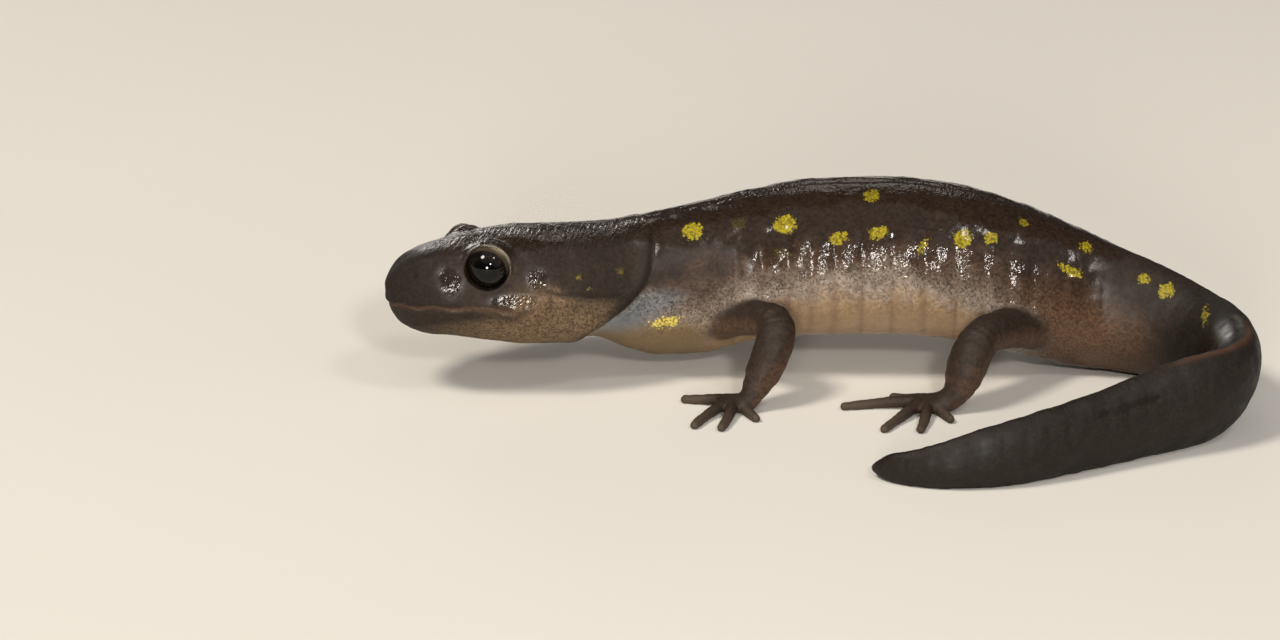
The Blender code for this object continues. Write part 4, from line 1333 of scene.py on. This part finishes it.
SKIN_COLOURS = (
    ("belly", "Belly", "Pinkish ground of the belly", "#8a7257"),
    ("flank_low", "Lower flank", "Pinkish grey ground of the lower flank", "#84776b"),
    ("flank", "Flank", "Grey-violet ground of the flank", "#64574c"),
    ("flank_high", "Upper flank", "Brown-grey ground of the upper flank", "#43342a"),
    ("back", "Back", "Dark brown skin of the back", "#251b14"),
    ("chest", "Chest", "Bluish ground of the chest", "#5f6061"),
    # the tan of the low chest, darkened with painted shade under the body
    ("breast", "Breast", "Tan ground under the chest", "#68573e"),
    # painted shade in the grooves between the ribs
    ("crease", "Rib grooves", "Brown line in each groove between the ribs", "#5e4636"),
    ("hip", "Hip", "Warm brown ground of the hip and tail root", "#533d2d"),
    ("throat", "Throat", "Tan ground of the throat", "#62503a"),
    ("cheek", "Cheek", "Orange-brown corner of the mouth", "#5c4832"),
    ("lip", "Lower lip", "Brown at the front of the lower jaw", "#21180f"),
    ("snout", "Snout", "Darkest brown at the tip of the snout", "#18110a"),
    # the neck's dark skin, deepened with painted shade before the collar and under the jaw groove
    ("shadow", "Neck patch", "Dark olive skin before the collar", "#261e16"),
    ("tail", "Tail", "Dark skin of the tail", "#15100a"),
    ("keel", "Keel", "Reddish brown edge of the tail where it bends", "#4c3424"),
    ("leg", "Leg", "Ground of the legs", "#251a11"),
    ("underside", "Leg underside", "Orange-brown rear of the legs", "#463224"),
    ("pigment", "Pigment cells", "Dark brown pigment cells", "#2a1f17"),
    ("toe", "Toe tip", "Translucent skin of the toe tips", "#54463a"),
    # painted shade in the collar fold, the jaw groove and the crease behind the mouth
    ("fold", "Fold", "Dark skin in the collar and jaw groove", "#1e150e"),
    ("mouth", "Mouth crease", "Reddish skin in the crease of the mouth", "#4c3324"),
    # painted shade inside the nostrils
    ("nostril", "Nostril", "Dark skin inside the nostrils", "#120c08"),
    ("lid", "Eyelid", "Thin grey-brown skin of the upper eyelid", "#3c3327"),
    # painted highlight: the pale gleam on the wet edge of the upper eyelid
    ("rim", "Lid rim", "Pale wet edge of the upper eyelid", "#8f8574"),
    ("spot", "Spot", "Yellow of the spots", "#97881b"),
    ("spot_dark", "Spot, darker", "Olive between the grains of a spot", "#5c5216"),
    ("spot_bright", "Spot, bright", "Cream yellow of the shoulder spot", "#d2bc60"),
)
EYE_COLOURS = (
    ("pupil", "Pupil", "Black of the pupil", "#040404"),
    ("iris", "Iris", "Nearly black brown of the iris", "#0e0a07"),
    ("gold", "Flecks", "Gold flecks in the iris", "#2a2012"),
    # painted shade where the ball goes under the lids
    ("socket", "Socket", "Dark skin where the eye meets the lids", "#0a0807"),
    ("lid", "Eyelid", "Thin grey-brown skin of the upper eyelid", "#3f362a"),
    # painted highlight: the pale gleam on the wet edge of the upper eyelid
    ("rim", "Lid rim", "Pale wet edge of the upper eyelid", "#8f8574"),
)


class SalamanderSkinSettings(bpy.types.PropertyGroup):
    """Sizes, finish and colours of the skin."""
    fine: size_property("Head spacing", "Spacing of the skin's mesh along the head",
                        0.10, 0.05, 0.5)
    coarse: size_property("Trunk spacing", "Spacing of the skin's mesh along the trunk and tail",
                          0.19, 0.08, 0.8)
    across: size_property("Spacing across", "Spacing of the skin's mesh from side to side",
                          0.145, 0.08, 0.8)
    upwards: size_property("Spacing upwards", "Spacing of the skin's mesh upwards",
                           0.13, 0.08, 0.8)
    pigment_gap: size_property("Pigment cells", "How far apart the dark pigment cells lie",
                               0.148, 0.05, 1.0)
    grain: size_property("Grain", "Width of the grains of the skin", 0.16, 0.05, 1.0)
    relief: share_property("Relief", "Depth of the grains and fine wrinkles", 0.75)
    satin: share_property("Satin", "Roughness of the skin where the film is thin", 0.76)
    wet: share_property("Wet", "Roughness of the skin where the film is thick", 0.12)


class SalamanderEyeSettings(bpy.types.PropertyGroup):
    """Shape and colours of the eyes."""
    bulge: share_property("Cornea", "How far the cornea bulges, as a share of the eye's radius",
                          0.03)


class SalamanderStudioSettings(bpy.types.PropertyGroup):
    """The floor, the lights and the camera."""
    floor: colour_property("Floor", "Colour of the floor", "#d9d5cd")
    lens: bpy.props.FloatProperty(name="Lens", description="Focal length", default=145.5,
                                  min=20.0, max=300.0, unit="CAMERA")
    light: bpy.props.FloatProperty(name="Light", description="Strength of all the lamps",
                                   default=1.0, min=0.0, max=5.0)


for settings, colours in ((SalamanderSkinSettings, SKIN_COLOURS),
                          (SalamanderEyeSettings, EYE_COLOURS)):
    for key, label, description, colour in colours:
        settings.__annotations__[key + "_colour"] = colour_property(label, description, colour)


# ---------------------------------------------------------------------------
# The pieces.
# ---------------------------------------------------------------------------

def add_piece(name, points, faces, material, numbers):
    """A smooth mesh object from points in millimetres and lists of corners.

    The numbers, one or one vector for every vertex, are stored for the material to read.
    """
    mesh = bpy.data.meshes.new(name)
    mesh.from_pydata((points * MM).tolist(), [], faces)
    mesh.materials.append(material)
    mesh.shade_smooth()
    for key, values in numbers.items():
        kind, field = ("FLOAT_VECTOR", "vector") if np.ndim(values) == 2 else ("FLOAT", "value")
        layer = mesh.attributes.new(key, kind, "POINT")
        layer.data.foreach_set(field, np.ascontiguousarray(values, np.float32).ravel())
    piece = bpy.data.objects.new(name, mesh)
    bpy.context.scene.collection.objects.link(piece)
    return piece


def flow_of(skin):
    """Coordinates that run along and round the body, in millimetres."""
    arc = np.arctan2(skin.side, skin.above) * GIRTH_RADIUS
    head = ramp(16.5, 13.5, skin.at)
    body = np.stack([skin.at + 0.55 * head * np.abs(arc), arc, np.zeros(len(arc))], axis=1)
    leg = skin.points * (1.0, 4.5, 1.0)
    return body * (1.0 - skin.leg[:, None]) + leg * skin.leg[:, None]


class SALAMANDER_OT_skin(bpy.types.Operator):
    """Cover the animal's flesh with one seamless skin"""
    bl_idname = "salamander.skin"
    bl_label = "Skin"

    def execute(self, context):
        chosen = context.scene.salamander_skin
        points, faces, out = bare_flesh(chosen.fine / MM, chosen.coarse / MM,
                                        chosen.across / MM, chosen.upwards / MM)
        skin = Skin(points, out)
        shaped = points + out * relief(skin)[:, None]
        shaped[:, 2] = np.maximum(shaped[:, 2], 0.0)
        looks = {key: tuple(getattr(chosen, key + "_colour")) for key, *_ in SKIN_COLOURS}
        looks.update(pigment_gap=chosen.pigment_gap / MM, grain=chosen.grain / MM,
                     relief=chosen.relief, satin=chosen.satin, wet=chosen.wet)
        numbers = tones(skin)
        piece = add_piece("skin", shaped, faces.tolist(), skin_material(looks, numbers),
                          numbers | {"flow": flow_of(skin)})
        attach(piece, BODY)
        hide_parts(*FLESH_NODES)
        return {"FINISHED"}


def eyeball(sign, bulge):
    """An eyeball with a slightly domed cornea, of radius 1: points, faces and numbers.

    The numbers are the distance from the axis of its gaze, how far the upper lid covers it
    and where a highlight is painted along the lid's upper rear edge.
    """
    rings, segments = EYE_RINGS, EYE_SEGMENTS
    gaze = gaze_of(sign)
    u = np.cross(gaze, (0.0, 0.0, 1.0))
    u /= np.linalg.norm(u)
    v = np.cross(gaze, u)
    points, ring = [gaze * (1.0 + bulge)], [0.0]
    for i in range(1, rings):
        angle = math.pi * i / rings
        reach = 1.0 + bulge * hump(0.0, CORNEA_SPREAD, math.degrees(angle))
        for k in range(segments):
            turn = 2.0 * math.pi * k / segments
            side = u * math.cos(turn) + v * math.sin(turn)
            points.append((gaze * math.cos(angle) + side * math.sin(angle)) * reach)
            ring.append(math.sin(angle) if angle < math.pi / 2 else 1.0)
    points.append(-gaze)
    ring.append(1.0)
    faces = []
    for k in range(segments):
        j = (k + 1) % segments
        faces.append((0, 1 + k, 1 + j))
        for i in range(rings - 2):
            a = 1 + i * segments
            faces.append((a + k, a + segments + k, a + segments + j, a + j))
        last = 1 + (rings - 2) * segments
        faces.append((last + k, len(points) - 1, last + j))
    points = np.array(points)
    ways = points / np.linalg.norm(points, axis=1)[:, None]
    clear = gaze - lid_middle() * LID_DROP
    clear /= np.linalg.norm(clear)
    turned = np.degrees(np.arccos(np.clip(ways @ clear, -1.0, 1.0)))
    upper = ways @ lid_middle()
    lid = ramp(CLEAR_EYE - 2.0, CLEAR_EYE + 4.0, turned) * ramp(-0.1, 0.5, upper)
    # a painted highlight along the lid's upper rear edge
    bright = ramp(CLEAR_EYE, CLEAR_EYE + 14.0, turned) * ramp(0.70, 0.95, upper)
    return points, faces, {"ring": np.array(ring), "lid": lid, "lid_bright": bright}


class SALAMANDER_OT_eyes(bpy.types.Operator):
    """Set the two wet black eyes under their lids"""
    bl_idname = "salamander.eyes"
    bl_label = "Eyes"

    def execute(self, context):
        chosen = context.scene.salamander_eyes
        looks = {key: tuple(getattr(chosen, key + "_colour")) for key, *_ in EYE_COLOURS}
        material = eye_material(looks, ("ring", "lid", "lid_bright"))
        for name, sign, centre in zip(("left", "right"), (1, -1), EYES):
            points, faces, numbers = eyeball(sign, chosen.bulge)
            piece = add_piece(name + "_eyeball", points * EYE_RADIUS + centre, faces, material,
                              numbers)
            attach(piece, BODY)
            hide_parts("eye_" + name)
        return {"FINISHED"}


LAMPS = (
    # name, azimuth, elevation, distance and width in metres, power in watts, colour
    ("soft key", -60.0, 56.0, 0.60, 0.16, 2.40, "#fff6ea"),
    ("front lamp", -8.0, 11.0, 0.90, 0.18, 4.60, "#fffaf4"),
    ("soft high fill", -20.0, 66.0, 0.90, 1.20, 1.60, "#fffaf4"),
    ("small side lamp", 11.0, 30.0, 0.60, 0.064, 1.27, "#fffaf4"),
    ("small high lamp", 46.0, 56.0, 0.60, 0.09, 0.42, "#fffaf4"),
    ("soft right fill", 50.0, 35.0, 0.80, 0.85, 0.75, "#f2f6ff"),
    ("soft back lamp", 177.0, 32.0, 0.60, 0.20, 0.12, "#fff8ee"),
    ("small rear lamp", -160.0, 12.0, 0.60, 0.22, 0.46, "#fffaf4"),
)
LAMPS_AIM = (0.0, 0.0, 0.005)
AIM = (-0.0102, 0.0042, 0.0025)
CAMERA_DISTANCE = 0.300
CAMERA_ELEVATION = 20.0
SENSOR_WIDTH = 36.0         # in millimetres, as the lens is
CLIP = (0.01, 10.0)
FLOOR_SIDES = 96
FLOOR_REACH = 4.0
ROOM_COLOUR = "#e9edf2"
ROOM_LIGHT = 0.06


def look_at(thing, spot, target):
    """Put a lamp or the camera at a spot and turn it to the target."""
    thing.location = spot
    way = Vector(target) - Vector(spot)
    thing.rotation_mode = "QUATERNION"
    thing.rotation_quaternion = way.to_track_quat("-Z", "Y")


def around(target, azimuth, elevation, distance):
    """A point at an azimuth (0 is in front, on the -Y side) and an elevation from a target."""
    a, e = math.radians(azimuth), math.radians(elevation)
    return (target[0] + distance * math.sin(a) * math.cos(e),
            target[1] - distance * math.cos(a) * math.cos(e),
            target[2] + distance * math.sin(e))


class SALAMANDER_OT_studio(bpy.types.Operator):
    """Put the animal on a plain pale floor under soft lamps, with the camera in front"""
    bl_idname = "salamander.studio"
    bl_label = "Studio"

    def execute(self, context):
        chosen = context.scene.salamander_studio
        scene = context.scene
        points = [(FLOOR_REACH * math.cos(2 * math.pi * k / FLOOR_SIDES),
                   FLOOR_REACH * math.sin(2 * math.pi * k / FLOOR_SIDES), 0.0)
                  for k in range(FLOOR_SIDES)]
        mesh = bpy.data.meshes.new("floor")
        mesh.from_pydata(points, [], [tuple(range(FLOOR_SIDES))])
        mesh.materials.append(floor_material(tuple(chosen.floor)))
        floor = bpy.data.objects.new("floor", mesh)
        scene.collection.objects.link(floor)
        for name, azimuth, elevation, distance, width, power, colour in LAMPS:
            data = bpy.data.lights.new(name, "AREA")
            data.shape = "DISK"
            data.size = width
            data.energy = power * chosen.light
            data.color = linear(colour)
            lamp = bpy.data.objects.new(name, data)
            scene.collection.objects.link(lamp)
            look_at(lamp, around(LAMPS_AIM, azimuth, elevation, distance), LAMPS_AIM)
            lamp.visible_camera = False
        world = bpy.data.worlds.new("pale room")
        scene.world = world
        world.use_nodes = True
        background = world.node_tree.nodes["Background"]
        background.inputs["Color"].default_value = (*linear(ROOM_COLOUR), 1.0)
        background.inputs["Strength"].default_value = ROOM_LIGHT
        scene.view_settings.view_transform = "Standard"
        data = bpy.data.cameras.new("camera")
        data.lens = chosen.lens
        data.sensor_width = SENSOR_WIDTH
        data.clip_start, data.clip_end = CLIP
        camera = bpy.data.objects.new("camera", data)
        scene.collection.objects.link(camera)
        look_at(camera, around(AIM, 0.0, CAMERA_ELEVATION, CAMERA_DISTANCE), AIM)
        scene.camera = camera
        return {"FINISHED"}


class SALAMANDER_PT_panel(bpy.types.Panel):
    """The animal's settings and the buttons that build it"""
    bl_label = "Spotted salamander"
    bl_idname = "SALAMANDER_PT_panel"
    bl_space_type = "VIEW_3D"
    bl_region_type = "UI"
    bl_category = "Salamander"

    def draw(self, context):
        groups = (("salamander_skin", "salamander.skin"), ("salamander_eyes", "salamander.eyes"),
                  ("salamander_studio", "salamander.studio"))
        for name, operator in groups:
            box = self.layout.box()
            settings = getattr(context.scene, name)
            for key in settings.bl_rna.properties.keys():
                if key not in ("rna_type", "name"):
                    box.prop(settings, key)
            box.operator(operator)


CLASSES = (SalamanderSkinSettings, SalamanderEyeSettings, SalamanderStudioSettings,
           SALAMANDER_OT_skin, SALAMANDER_OT_eyes, SALAMANDER_OT_studio, SALAMANDER_PT_panel)
SETTINGS = (("salamander_skin", SalamanderSkinSettings),
            ("salamander_eyes", SalamanderEyeSettings),
            ("salamander_studio", SalamanderStudioSettings))


def register():
    """Make the classes and the settings known to Blender."""
    for made in CLASSES:
        bpy.utils.register_class(made)
    for name, group in SETTINGS:
        setattr(bpy.types.Scene, name, bpy.props.PointerProperty(type=group))


def unregister():
    """Take them away again."""
    for name, _ in SETTINGS:
        delattr(bpy.types.Scene, name)
    for made in reversed(CLASSES):
        bpy.utils.unregister_class(made)


def main():
    """Build the animal and the studio."""
    register()
    bpy.ops.salamander.skin()
    bpy.ops.salamander.eyes()
    bpy.ops.salamander.studio()


if __name__ == "__main__":
    main()
